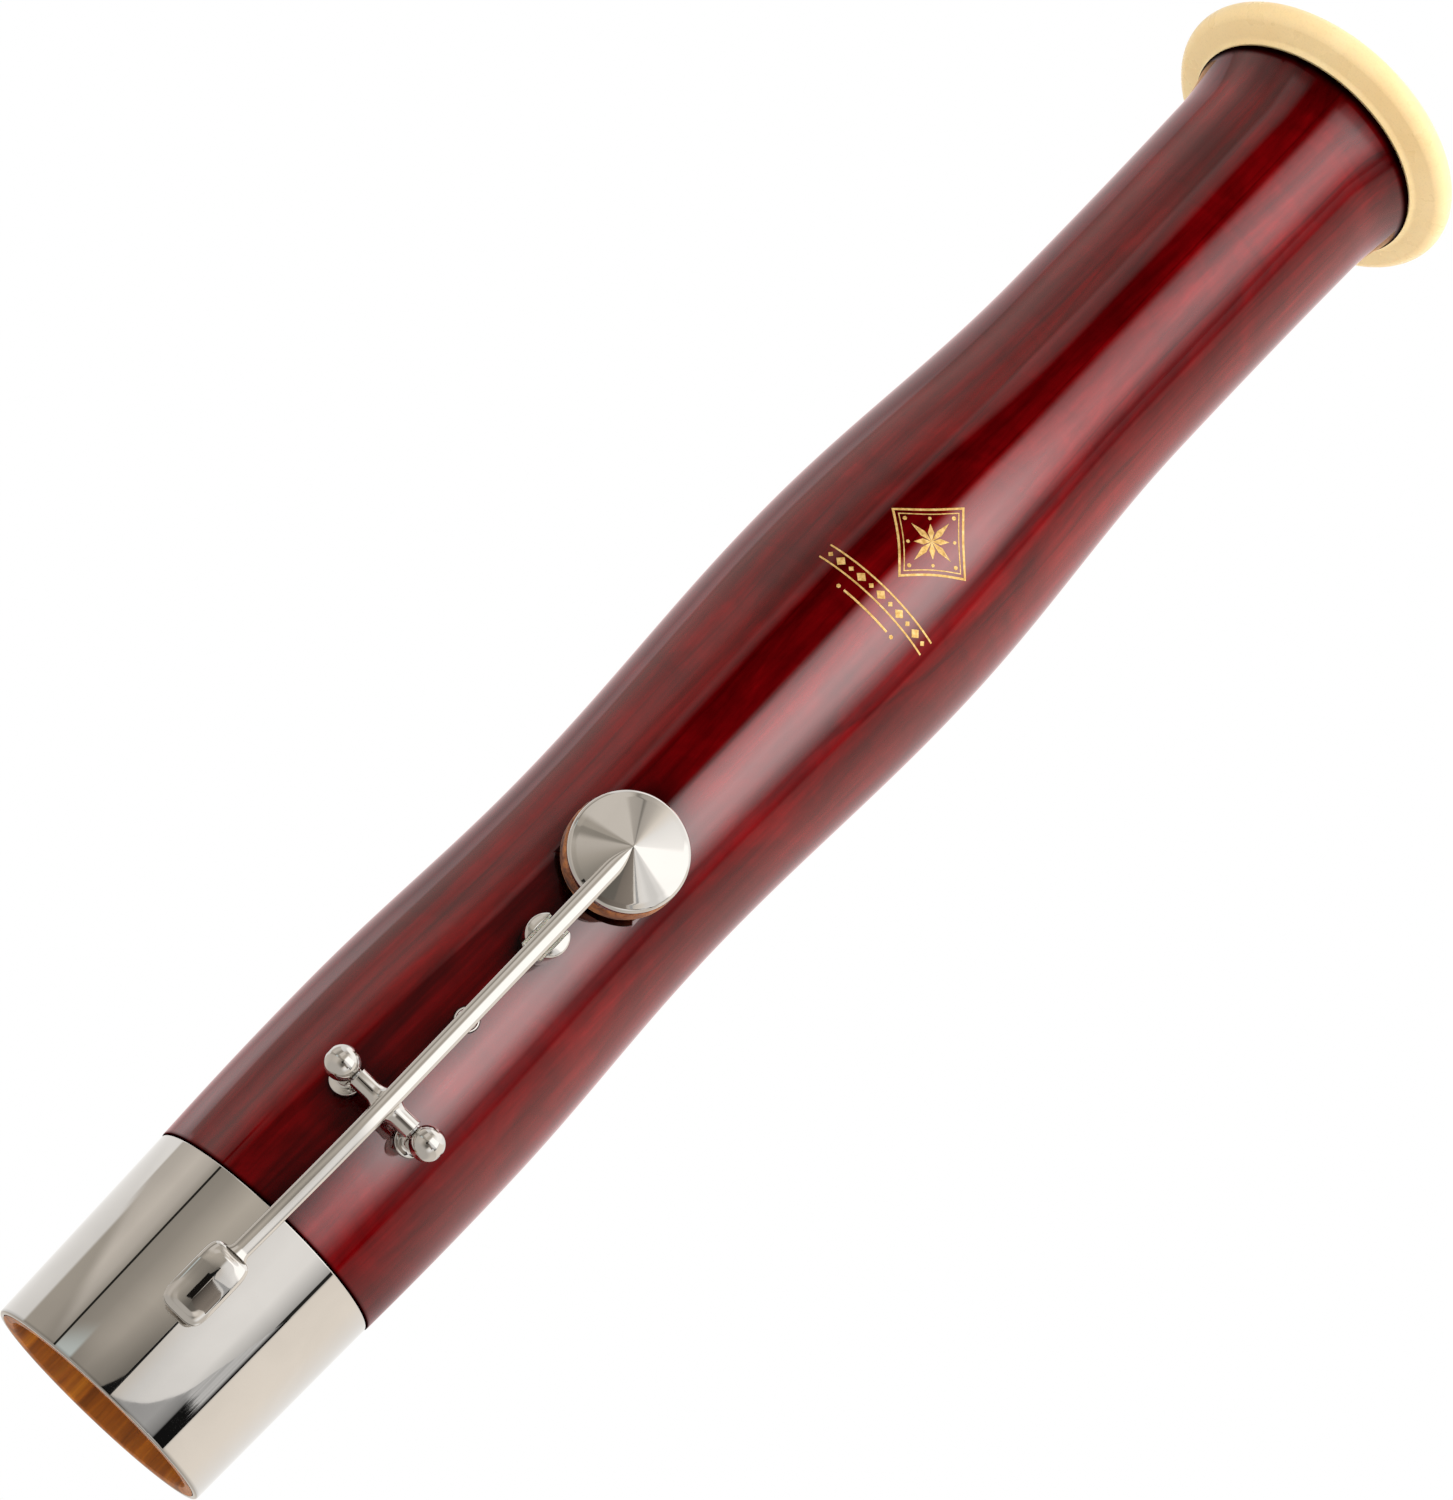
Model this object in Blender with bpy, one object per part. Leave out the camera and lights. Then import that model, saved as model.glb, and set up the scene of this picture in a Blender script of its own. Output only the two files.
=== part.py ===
"""Bell joint of a bassoon: wooden bell, ring, ferrule and the low B flat key.

Frame: metres, +Z runs up the bell's axis from the tenon socket to the mouth,
the origin is the centre of the socket's end face, and the key lies on -Y.
The key is shown at rest, standing open on its spring.
"""

import math

import bmesh
import bpy
from mathutils import Matrix, Vector

MM = 0.001

# ---------------------------------------------------------------- the bell
FERRULE_LENGTH = 38.3 * MM
FERRULE_WALL = 0.9 * MM
FERRULE_EDGE = 0.25 * MM
FERRULE_FOOT_RADIUS = 21.8 * MM
FERRULE_TOP_RADIUS = 23.05 * MM
WOOD_FOOT_RADIUS = 23.15 * MM
SWELL_Z, SWELL_RADIUS = 74.0 * MM, 24.0 * MM
WAIST_Z, WAIST_RADIUS = 123.6 * MM, 22.45 * MM
BELLY_Z, BELLY_RADIUS = 194.6 * MM, 25.26 * MM
THROAT_Z, THROAT_RADIUS = 262.0 * MM, 22.2 * MM
NECK_Z, NECK_RADIUS = 315.0 * MM, 22.85 * MM
LIP_Z, LIP_RADIUS = 328.4 * MM, 25.04 * MM

SOCKET_RADIUS = 18.85 * MM
SOCKET_DEPTH = 36.0 * MM
SOCKET_LEAD_IN = 0.5 * MM
BORE_FOOT_RADIUS = 16.4 * MM
BORE_MOUTH_RADIUS = 18.6 * MM
TOP_TENON_RADIUS = 21.8 * MM
TOP_TENON_Z = 333.4 * MM

RING_RIM_RADIUS = 31.3 * MM
RING_ROUND = 2.45 * MM
RING_ROUND_Z = 332.45 * MM
RING_TOP_Z = 335.4 * MM
RING_FLARE, RING_FLARE_RISE = 1.6 * MM, 0.75 * MM
RING_FLAT_OUTER = 26.0 * MM
RING_CHAMFER = 0.8 * MM
RING_INNER_RADIUS = 18.9 * MM

# ---------------------------------------------------------------- tone hole
TONE_HOLE_RADIUS = 6.75 * MM
TONE_HOLE_FLOOR = 12 * MM
SEAT_HEIGHT = 20.7 * MM
SEAT_CUT_RADIUS = 11.1 * MM

# ---------------------------------------------------------------- hinge
HINGE_Z = 61.4 * MM
HINGE_X = -0.35 * MM
POST_ANGLE = math.radians(17.2)
POST_REACH = 31.4 * MM
BALL_RADIUS = 3.0 * MM
POST_NECK_RADIUS = 1.25 * MM
POST_FLANGE_RADIUS = 2.85 * MM
POST_FLANGE_LOW, POST_FLANGE_RIM, POST_FLANGE_ROUND = 0.2 * MM, 0.45 * MM, 0.2 * MM
POST_SHOULDER_RADIUS, POST_SHOULDER_Z = 1.7 * MM, 0.8 * MM
POST_NECK_Z = 1.9 * MM
POST_SHANK_RADIUS = 1.5 * MM
POST_SHANK_LENGTH = 5.0 * MM
HINGE_HEIGHT = POST_REACH * math.cos(POST_ANGLE)
BALL_X = POST_REACH * math.sin(POST_ANGLE)
ROD_RADIUS = 0.90 * MM
ROD_HEAD_RADIUS = 1.1 * MM
ROD_HEAD_SINK = 2.0 * MM
ROD_HEAD_LOW, ROD_HEAD_HIGH = 2.15 * MM, 2.9 * MM
ROD_TIP = 2.8 * MM
ROD_EDGE = 0.2 * MM
ROD_SLOT_WIDTH, ROD_SLOT_DEPTH = 0.4 * MM, 0.45 * MM
TUBE_BORE_RADIUS = 0.97 * MM
TUBE_RADIUS = 1.8 * MM
TUBE_EDGE = 0.15 * MM
OPEN_ANGLE = math.radians(2.45)

# ---------------------------------------------------------------- key guide and spring plate
GUIDE_Z = 99.85 * MM
GUIDE_X = -0.14 * MM
GUIDE_RADIUS = 3.8 * MM
GUIDE_TOP = 31.3 * MM
GUIDE_SLOT_FLOOR = 27.0 * MM
GUIDE_SLOT_HALF = 2.2 * MM
GUIDE_SHANK_RADIUS, GUIDE_SHANK_LENGTH = 1.6 * MM, 4.5 * MM
GUIDE_FOOT = 0.2 * MM
GUIDE_WAIST_RADIUS, GUIDE_WAIST_Z, GUIDE_HEAD_Z = 3.55 * MM, 2.4 * MM, 4.4 * MM
GUIDE_ROUND, GUIDE_CROWN = 0.55 * MM, 0.35 * MM
LINER_INNER_HALF = 1.72 * MM
LINER_TOP = 30.3 * MM
LINER_HALF_LENGTH = 2.95 * MM
SPRING_PLATE_Z = 82.0 * MM
SPRING_PLATE_RADIUS = 2.15 * MM
SPRING_PLATE_SINK, SPRING_PLATE_LIP, SPRING_PLATE_DISH = 0.9 * MM, 0.2 * MM, 0.65 * MM
SPRING_PIN_RADIUS, SPRING_PIN_POINT = 0.7 * MM, 3.4 * MM

# ---------------------------------------------------------------- key, measured from the hinge axis
ARM_WIDTH = 3.2 * MM
ARM_DEPTH = 2.8 * MM
ARM_TOP_AT_HINGE = 3.0 * MM
ARM_SKEW = -0.58 * MM
ARM_OFFSET = -0.13 * MM
ARM_POINT_LENGTH, ARM_POINT_SHORT = 5.2 * MM, 0.35 * MM
ARM_CROWN = 0.62
ARM_BEND_START, ARM_NECK_DROP = 2 * MM, 0.35 * MM
CUP_Y = 58.75 * MM
CUP_RADIUS = 10.45 * MM
CUP_CONE_RADIUS = 9.5 * MM
CUP_CONE_HEIGHT = 3.5 * MM
CUP_SIDE = 1.6 * MM
CUP_WALL = 0.75 * MM
CUP_EDGE = 0.15 * MM
CUP_FLOOR_DROP = 0.65 * MM
PAD_STAND = 5.2 * MM
PAD_RADIUS = 10.65 * MM
PAD_ROUND = 0.8 * MM
PAD_INSIDE_RADIUS = 9.5 * MM
PAD_SKIN = 0.5 * MM
PAD_CARD = 0.5 * MM
PAD_BACK_DROP = 0.95 * MM
PAD_FOLD_RADIUS = 6.0 * MM
PAD_SHELF_GAP = 0.2 * MM
SHELLAC_RIM = 0.5 * MM
TOUCH_LENGTH = 13.2 * MM
TOUCH_WIDTH = 8.1 * MM
TOUCH_THICK = 2.3 * MM
TOUCH_TOP = -0.80 * MM
TOUCH_MID_Z = 22.1 * MM
TOUCH_X = -1.09 * MM
TOUCH_CORNER, TOUCH_SMALLEST_CORNER = 2.9 * MM, 0.6 * MM
TOUCH_PROFILE = (
    (0.35 * MM, 0.0),
    (0.0, 0.30 * MM),
    (0.0, 0.82 * MM),
    (0.22 * MM, 1.42 * MM),
    (0.80 * MM, 1.83 * MM),
    (1.45 * MM, 2.03 * MM),
    (2.40 * MM, 2.21 * MM),
    (3.20 * MM, TOUCH_THICK),
)
CORK_INSET, CORK_EDGE, CORK_CORNER = 0.6 * MM, 0.3 * MM, 2.2 * MM
SPRING_WIDTH = 2.2 * MM
SPRING_THICK = 0.35 * MM
SPRING_HEEL, SPRING_BEND = 3.2 * MM, 8.5 * MM
SPRING_TAPER, SPRING_CURVE = 0.35 * MM, 1.35
SCREW_Y = 6.2 * MM
SCREW_HEAD_RADIUS = 1.2 * MM
SCREW_HEAD_HEIGHT, SCREW_HEAD_EDGE = 0.75 * MM, 0.25 * MM
SCREW_SHANK_RADIUS, SCREW_GRIP = 0.55 * MM, 1.3 * MM
SCREW_SLOT_WIDTH, SCREW_SLOT_DEPTH = 0.35 * MM, 0.3 * MM

# ---------------------------------------------------------------- clearances and fineness
GAP = 0.3 * MM
FINE_GAP = 0.15 * MM
LINER_GAP = 0.08 * MM
CUT_REACH = 30 * MM
CUT_ABOVE = 4 * MM
BELL_STEPS = 48
CUP_STEPS = 32
SMALL_STEPS = 24
SCREW_STEPS = 16
ROUND_STEPS = 5
ALONG_X = (0, math.pi / 2, 0)

# Heights of the key above the hinge axis when the pad lies on its seat
PAD_FACE = SEAT_HEIGHT + 0.1 * MM - HINGE_HEIGHT
CUP_RIM = PAD_FACE + PAD_STAND
CUP_SHOULDER = CUP_RIM + CUP_SIDE
CUP_APEX = CUP_SHOULDER + CUP_CONE_HEIGHT
TOUCH_Y = (TOUCH_MID_Z - HINGE_Z) / math.cos(OPEN_ANGLE)
ARM_NECK_Y = TOUCH_Y + TOUCH_LENGTH / 2
ARM_SLOPE = (ARM_TOP_AT_HINGE - CUP_APEX) / CUP_Y


def clear_scene():
    for item in list(bpy.data.objects):
        bpy.data.objects.remove(item, do_unlink=True)


def make_material(name, colour, roughness, metallic):
    material = bpy.data.materials.new(name)
    material.use_nodes = True
    shader = material.node_tree.nodes["Principled BSDF"]
    shader.inputs["Base Color"].default_value = (*colour, 1.0)
    shader.inputs["Roughness"].default_value = roughness
    shader.inputs["Metallic"].default_value = metallic
    return material


def lacquered_maple():
    return make_material("red_lacquered_maple", (0.16, 0.006, 0.010), 0.12, 0.0)


def cream_resin():
    return make_material("cream_resin", (0.88, 0.72, 0.42), 0.35, 0.0)


def nickel_silver():
    return make_material("polished_nickel_silver", (0.78, 0.76, 0.70), 0.08, 1.0)


def steel():
    return make_material("steel", (0.55, 0.55, 0.56), 0.25, 1.0)


def blue_steel():
    return make_material("blued_spring_steel", (0.10, 0.13, 0.22), 0.25, 1.0)


def white_liner():
    return make_material("white_nylon", (0.85, 0.83, 0.76), 0.45, 0.0)


def tan_leather():
    return make_material("tan_leather", (0.52, 0.20, 0.05), 0.6, 0.0)


def white_felt():
    return make_material("white_felt", (0.80, 0.78, 0.72), 0.95, 0.0)


def grey_card():
    return make_material("grey_card", (0.45, 0.42, 0.38), 0.9, 0.0)


def amber_shellac():
    return make_material("amber_shellac", (0.35, 0.13, 0.02), 0.3, 0.0)


def cork():
    return make_material("cork", (0.50, 0.30, 0.14), 0.9, 0.0)


def add_object(name, bm, material, parent=None, location=(0, 0, 0), turn=(0, 0, 0)):
    """Closes a bmesh into a named, smooth shaded object."""
    bmesh.ops.remove_doubles(bm, verts=bm.verts, dist=1e-7)
    bmesh.ops.recalc_face_normals(bm, faces=bm.faces)
    mesh = bpy.data.meshes.new(name)
    bm.to_mesh(mesh)
    bm.free()
    mesh.shade_smooth()
    mesh.set_sharp_from_angle(angle=math.radians(32))
    if material:
        mesh.materials.append(material)
    item = bpy.data.objects.new(name, mesh)
    bpy.context.scene.collection.objects.link(item)
    item.parent = parent
    item.location = location
    item.rotation_euler = turn
    return item


def add_empty(name, location, turn):
    item = bpy.data.objects.new(name, None)
    bpy.context.scene.collection.objects.link(item)
    item.location = location
    item.rotation_euler = turn
    return item


def lathe(outline, steps):
    """Spins a closed outline of (radius, height) points about the Z axis."""
    bm = bmesh.new()
    ring = [bm.verts.new((radius, 0, height)) for radius, height in outline]
    edges = []
    for one, other in zip(ring, ring[1:] + ring[:1]):
        if one.co.x > 0 or other.co.x > 0:
            edges.append(bm.edges.new((one, other)))
    bmesh.ops.spin(
        bm,
        geom=ring + edges,
        axis=(0, 0, 1),
        cent=(0, 0, 0),
        angle=2 * math.pi,
        steps=steps,
        use_merge=True,
    )
    return bm


def arc(centre, radius, start, end, steps=ROUND_STEPS):
    """Points of an arc in the outline plane, angles in degrees from +radius."""
    points = []
    for i in range(steps + 1):
        angle = math.radians(start + (end - start) * i / steps)
        points.append(
            (centre[0] + radius * math.cos(angle), centre[1] + radius * math.sin(angle))
        )
    return points


def loft(sections):
    """Bridges equal loops of points and closes both ends."""
    bm = bmesh.new()
    loops = [[bm.verts.new(point) for point in section] for section in sections]
    count = len(loops[0])
    for low, high in zip(loops, loops[1:]):
        for i in range(count):
            j = (i + 1) % count
            bm.faces.new((low[i], low[j], high[j], high[i]))
    bm.faces.new(loops[0])
    bm.faces.new(reversed(loops[-1]))
    return bm


def cylinder(radius, low, high, steps=SMALL_STEPS):
    return lathe([(0, low), (radius, low), (radius, high), (0, high)], steps)


def block(size, centre):
    bm = bmesh.new()
    bmesh.ops.create_cube(
        bm, size=1.0, matrix=Matrix.Translation(Vector(centre)) @ Matrix.Diagonal((*size, 1.0))
    )
    return bm


def radial_place(height, reach, angle=0.0, sideways=0.0):
    """Location and turn that stand a piece's Z axis out of the bell's surface."""
    location = (
        reach * math.sin(angle) + sideways * math.cos(angle),
        -reach * math.cos(angle) + sideways * math.sin(angle),
        height,
    )
    return location, (math.pi / 2, 0, angle)


def make_cutter(name, bm, parent=None, location=(0, 0, 0), turn=(0, 0, 0)):
    """A hidden shape that only serves to cut holes."""
    cutter = add_object(name, bm, None, parent, location, turn)
    cutter.hide_render = True
    cutter.display_type = "WIRE"
    return cutter


def cut(item, cutter):
    """Takes one hidden cutter away from an object."""
    modifier = item.modifiers.new(cutter.name, "BOOLEAN")
    modifier.operation = "DIFFERENCE"
    modifier.solver = "EXACT"
    modifier.object = cutter


def cut_all(item, cutters):
    """Takes several hidden cutters away from an object in one step."""
    holes = bpy.data.collections.new(item.name + "_holes")
    bpy.context.scene.collection.children.link(holes)
    for cutter in cutters:
        holes.objects.link(cutter)
    modifier = item.modifiers.new("holes", "BOOLEAN")
    modifier.operation = "DIFFERENCE"
    modifier.solver = "EXACT"
    modifier.operand_type = "COLLECTION"
    modifier.collection = holes


def ease(value, start, end):
    """Half a cosine wave, 0 at start and 1 at end."""
    share = min(max((value - start) / (end - start), 0.0), 1.0)
    return 0.5 - 0.5 * math.cos(math.pi * share)


def ferrule_radius(z):
    """The ferrule's straight taper."""
    rise = FERRULE_TOP_RADIUS - FERRULE_FOOT_RADIUS
    return FERRULE_FOOT_RADIUS + rise * z / FERRULE_LENGTH


def bell_radius(z):
    """The turned wood, from the ferrule's top edge to the lip under the ring."""
    if z < SWELL_Z:
        share = (SWELL_Z - z) / (SWELL_Z - FERRULE_LENGTH)
        return SWELL_RADIUS - (SWELL_RADIUS - WOOD_FOOT_RADIUS) * share**2
    if z < WAIST_Z:
        return SWELL_RADIUS + (WAIST_RADIUS - SWELL_RADIUS) * ease(z, SWELL_Z, WAIST_Z)
    if z < BELLY_Z:
        return WAIST_RADIUS + (BELLY_RADIUS - WAIST_RADIUS) * ease(z, WAIST_Z, BELLY_Z)
    if z < THROAT_Z:
        return BELLY_RADIUS + (THROAT_RADIUS - BELLY_RADIUS) * ease(z, BELLY_Z, THROAT_Z)
    if z < NECK_Z:
        share = (z - THROAT_Z) / (NECK_Z - THROAT_Z)
        return THROAT_RADIUS + (NECK_RADIUS - THROAT_RADIUS) * share**2
    share = (z - NECK_Z) / (LIP_Z - NECK_Z)
    return NECK_RADIUS + (LIP_RADIUS - NECK_RADIUS) * share**2.2


def stations(start, end, count):
    return [start + (end - start) * i / count for i in range(count + 1)]


def make_bell_body():
    rebate = FERRULE_WALL + FINE_GAP
    shoulder = FERRULE_LENGTH + FINE_GAP
    outline = [(SOCKET_RADIUS + SOCKET_LEAD_IN, 0.0)]
    outline += [(ferrule_radius(z) - rebate, z) for z in (0.0, shoulder)]
    outline += [(bell_radius(z), z) for z in stations(shoulder, NECK_Z, 19)]
    outline += [(bell_radius(z), z) for z in stations(NECK_Z, LIP_Z, 4)[1:]]
    outline += [(TOP_TENON_RADIUS, LIP_Z), (TOP_TENON_RADIUS, TOP_TENON_Z)]
    outline += [(BORE_MOUTH_RADIUS, TOP_TENON_Z)]
    outline += [(BORE_FOOT_RADIUS, SOCKET_DEPTH), (SOCKET_RADIUS, SOCKET_DEPTH)]
    outline += [(SOCKET_RADIUS, SOCKET_LEAD_IN)]
    return add_object("bell_body", lathe(outline, BELL_STEPS), lacquered_maple())


def make_tone_hole_cutter():
    """The tone hole and the flat seat cut around it for the pad."""
    outline = [(0, TONE_HOLE_FLOOR), (TONE_HOLE_RADIUS, TONE_HOLE_FLOOR)]
    outline += [(TONE_HOLE_RADIUS, SEAT_HEIGHT), (SEAT_CUT_RADIUS, SEAT_HEIGHT)]
    outline += [(SEAT_CUT_RADIUS, CUT_REACH), (0, CUT_REACH)]
    place, turn = radial_place(HINGE_Z + CUP_Y, 0.0)
    return make_cutter("cut_tone_hole", lathe(outline, CUP_STEPS), None, place, turn)


def make_ferrule():
    top, edge = FERRULE_LENGTH, FERRULE_EDGE
    foot = ferrule_radius(0.0)
    outline = [(foot - FERRULE_WALL, 0.0), (foot - 2 * edge, 0.0), (foot - edge / 2, edge / 2)]
    outline += [(ferrule_radius(z), z) for z in stations(2 * edge, top - edge, 3)]
    outline += [(ferrule_radius(top) - edge, top), (ferrule_radius(top) - FERRULE_WALL, top)]
    add_object("socket_ferrule", lathe(outline, BELL_STEPS), nickel_silver())


def make_ring():
    centre = (RING_RIM_RADIUS - RING_ROUND, RING_ROUND_Z)
    under = LIP_Z + FINE_GAP
    tenon = TOP_TENON_RADIUS + FINE_GAP
    outline = [(tenon, under), (LIP_RADIUS + FINE_GAP, under)]
    outline += [(LIP_RADIUS + RING_FLARE, under + RING_FLARE_RISE)]
    outline += arc(centre, RING_ROUND, -90, 90, 8)
    outline += [(RING_FLAT_OUTER, RING_TOP_Z), (RING_INNER_RADIUS + RING_CHAMFER, RING_TOP_Z)]
    outline += [(RING_INNER_RADIUS, RING_TOP_Z - RING_CHAMFER)]
    outline += [(RING_INNER_RADIUS, TOP_TENON_Z + FINE_GAP), (tenon, TOP_TENON_Z + FINE_GAP)]
    add_object("bell_ring", lathe(outline, BELL_STEPS), cream_resin())


def post_outline(centre_height):
    """Shank, domed flange, neck and ball, measured from the wood's surface."""
    flange = POST_FLANGE_RADIUS
    neck = POST_NECK_RADIUS
    meet = math.degrees(math.acos(neck / BALL_RADIUS))
    outline = [(0, -POST_SHANK_LENGTH), (POST_SHANK_RADIUS, -POST_SHANK_LENGTH)]
    outline += [(POST_SHANK_RADIUS, POST_FLANGE_LOW), (flange, POST_FLANGE_LOW)]
    outline += [(flange, POST_FLANGE_RIM)]
    outline += [(flange - POST_FLANGE_ROUND, POST_FLANGE_RIM + POST_FLANGE_ROUND)]
    outline += [(POST_SHOULDER_RADIUS, POST_SHOULDER_Z), (neck, POST_NECK_Z)]
    outline += arc((0, centre_height), BALL_RADIUS, -meet, 90, 9)[:-1]
    outline += [(0, centre_height + BALL_RADIUS)]
    return outline


def make_posts():
    """Two ball posts with a hole for the rod; returns the cutters for the wood."""
    axis = (HINGE_X, -HINGE_HEIGHT, HINGE_Z)
    rod_hole = cylinder(ROD_RADIUS + FINE_GAP, -CUT_REACH, CUT_REACH)
    rod_cutter = make_cutter("cut_rod_hole", rod_hole, None, axis, ALONG_X)
    head_hole = cylinder(ROD_HEAD_RADIUS + FINE_GAP, BALL_X + ROD_HEAD_SINK, CUT_REACH)
    head_cutter = make_cutter("cut_rod_head", head_hole, None, axis, ALONG_X)
    reach = bell_radius(HINGE_Z)
    wood_cutters = []
    for side, name in ((-1, "hinge_post_left"), (1, "hinge_post_right")):
        place, turn = radial_place(HINGE_Z, reach, side * POST_ANGLE)
        place = (place[0] + HINGE_X, place[1], place[2])
        outline = post_outline(POST_REACH - reach)
        post = add_object(name, lathe(outline, SMALL_STEPS), nickel_silver(), None, place, turn)
        cut(post, rod_cutter)
        if side > 0:
            cut(post, head_cutter)
        hole = cylinder(POST_SHANK_RADIUS + FINE_GAP, -POST_SHANK_LENGTH - GAP, CUT_ABOVE)
        wood_cutters.append(make_cutter("cut_" + name, hole, None, place, turn))
    return wood_cutters


def make_hinge_rod():
    start, head, end = -BALL_X - ROD_TIP, BALL_X + ROD_HEAD_LOW, BALL_X + ROD_HEAD_HIGH
    radius = ROD_HEAD_RADIUS
    outline = [(0, start), (ROD_RADIUS - ROD_EDGE, start), (ROD_RADIUS, start + ROD_EDGE)]
    outline += [(ROD_RADIUS, head), (radius, head), (radius, end - ROD_EDGE)]
    outline += [(radius - ROD_EDGE, end), (0, end)]
    bm = lathe(outline, SMALL_STEPS)
    axis = (HINGE_X, -HINGE_HEIGHT, HINGE_Z)
    rod = add_object("hinge_rod", bm, steel(), None, axis, ALONG_X)
    slot = block((ROD_SLOT_WIDTH, 4 * ROD_HEAD_RADIUS, 2 * ROD_SLOT_DEPTH), (0, 0, end))
    cut(rod, make_cutter("cut_rod_slot", slot, None, axis, ALONG_X))


def make_guide():
    """Slotted post that steers the arm; returns the cutter for the wood."""
    reach = bell_radius(GUIDE_Z)
    place, turn = radial_place(GUIDE_Z, reach, 0.0, GUIDE_X)
    top = GUIDE_TOP - reach
    floor = GUIDE_SLOT_FLOOR - reach
    depth = GUIDE_SHANK_LENGTH
    outline = [(0, -depth), (GUIDE_SHANK_RADIUS, -depth), (GUIDE_SHANK_RADIUS, GUIDE_FOOT)]
    outline += [(GUIDE_WAIST_RADIUS, GUIDE_FOOT), (GUIDE_WAIST_RADIUS, GUIDE_WAIST_Z)]
    outline += [(GUIDE_RADIUS, GUIDE_HEAD_Z)]
    outline += arc((GUIDE_RADIUS - GUIDE_ROUND, top - GUIDE_CROWN - GUIDE_ROUND), GUIDE_ROUND, 0, 72, 3)
    outline += [(0, top)]
    guide = add_object("key_guide", lathe(outline, SMALL_STEPS), nickel_silver(), None, place, turn)
    slot = block((2 * GUIDE_SLOT_HALF, CUT_REACH, CUT_REACH), (0, 0, floor + CUT_REACH / 2))
    cut(guide, make_cutter("cut_guide_slot", slot, None, place, turn))
    hole = cylinder(GUIDE_SHANK_RADIUS + FINE_GAP, -depth - GAP, CUT_ABOVE)
    return make_cutter("cut_guide_hole", hole, None, place, turn)


def make_liner():
    """U shaped strip that keeps the arm quiet in the guide's slot."""
    reach = bell_radius(GUIDE_Z)
    place, turn = radial_place(GUIDE_Z, reach, 0.0, GUIDE_X)
    low, high = GUIDE_SLOT_FLOOR - reach + LINER_GAP, LINER_TOP - reach
    outer, inner = GUIDE_SLOT_HALF - LINER_GAP, LINER_INNER_HALF
    sole = low + outer - inner
    shape = [(-outer, low), (outer, low), (outer, high), (inner, high)]
    shape += [(inner, sole), (-inner, sole), (-inner, high), (-outer, high)]
    ends = [[(x, end, z) for x, z in shape] for end in (-LINER_HALF_LENGTH, LINER_HALF_LENGTH)]
    add_object("guide_liner", loft(ends), white_liner(), None, place, turn)


def make_spring_plate():
    """Pin with a dished head that the flat spring slides on; returns the wood's cutter."""
    reach = bell_radius(SPRING_PLATE_Z)
    place, turn = radial_place(SPRING_PLATE_Z, reach, 0.0, ARM_OFFSET)
    radius, pin = SPRING_PLATE_RADIUS, SPRING_PIN_RADIUS
    sink, point, lip = -SPRING_PLATE_SINK, -SPRING_PIN_POINT, SPRING_PLATE_LIP
    outline = [(0, point), (pin / 2, point), (pin, point + pin), (pin, sink), (radius, sink)]
    outline += [(radius, lip / 2), (radius - lip, lip), (radius - SPRING_PLATE_DISH, lip)]
    outline += [(radius - SPRING_PLATE_DISH - lip, 0.0), (0, 0.0)]
    bm = lathe(outline, SMALL_STEPS)
    add_object("spring_plate", bm, nickel_silver(), None, place, turn)
    well = [(0, point - GAP), (pin + FINE_GAP, point - GAP), (pin + FINE_GAP, sink - FINE_GAP)]
    well += [(radius + FINE_GAP, sink - FINE_GAP), (radius + FINE_GAP, CUT_ABOVE), (0, CUT_ABOVE)]
    return make_cutter("cut_spring_plate", lathe(well, SMALL_STEPS), None, place, turn)


def arm_top(y):
    """Height of the arm's ridge above the hinge axis, key closed."""
    if y > 0:
        return ARM_TOP_AT_HINGE - ARM_SLOPE * y
    drop = ARM_TOP_AT_HINGE - TOUCH_TOP + ARM_NECK_DROP
    return ARM_TOP_AT_HINGE - drop * ease(-y, ARM_BEND_START, -ARM_NECK_Y)


def cup_height(distance):
    """Top of the cup at a distance from its axis."""
    if distance < CUP_CONE_RADIUS:
        return CUP_APEX - CUP_CONE_HEIGHT * distance / CUP_CONE_RADIUS
    share = min((distance - CUP_CONE_RADIUS) / (CUP_RADIUS - CUP_CONE_RADIUS), 1.0)
    return CUP_SHOULDER - (CUP_RADIUS - CUP_CONE_RADIUS) * (1 - math.sqrt(1 - share**2))


def arm_centre(y):
    return ARM_OFFSET + ARM_SKEW * max(y / ARM_NECK_Y, 0.0) ** 1.5


def arm_section(y):
    """Half round strap; over the cup it narrows to a point and rides on the cone."""
    point = CUP_Y - ARM_POINT_SHORT
    share = min(max((point - y) / ARM_POINT_LENGTH, 0.0), 1.0)
    half = ARM_WIDTH / 2 * max(math.sin(share * math.pi / 2), 0.04)
    top = arm_top(y)
    bottom = top - ARM_DEPTH
    distance = CUP_Y - y
    if distance < CUP_RADIUS + GAP:
        rest = cup_height(max(distance, 0.0)) + FINE_GAP
        bottom = max(bottom, rest)
        top = max(top, rest + GAP)
    crown = min(ARM_CROWN * half, ARM_CROWN * (top - bottom))
    x = arm_centre(y)
    section = [(x - half, y, bottom), (x + half, y, bottom)]
    for i in range(9):
        angle = math.pi * i / 8
        section.append((x + half * math.cos(angle), y, top - crown + crown * math.sin(angle)))
    return section


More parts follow.
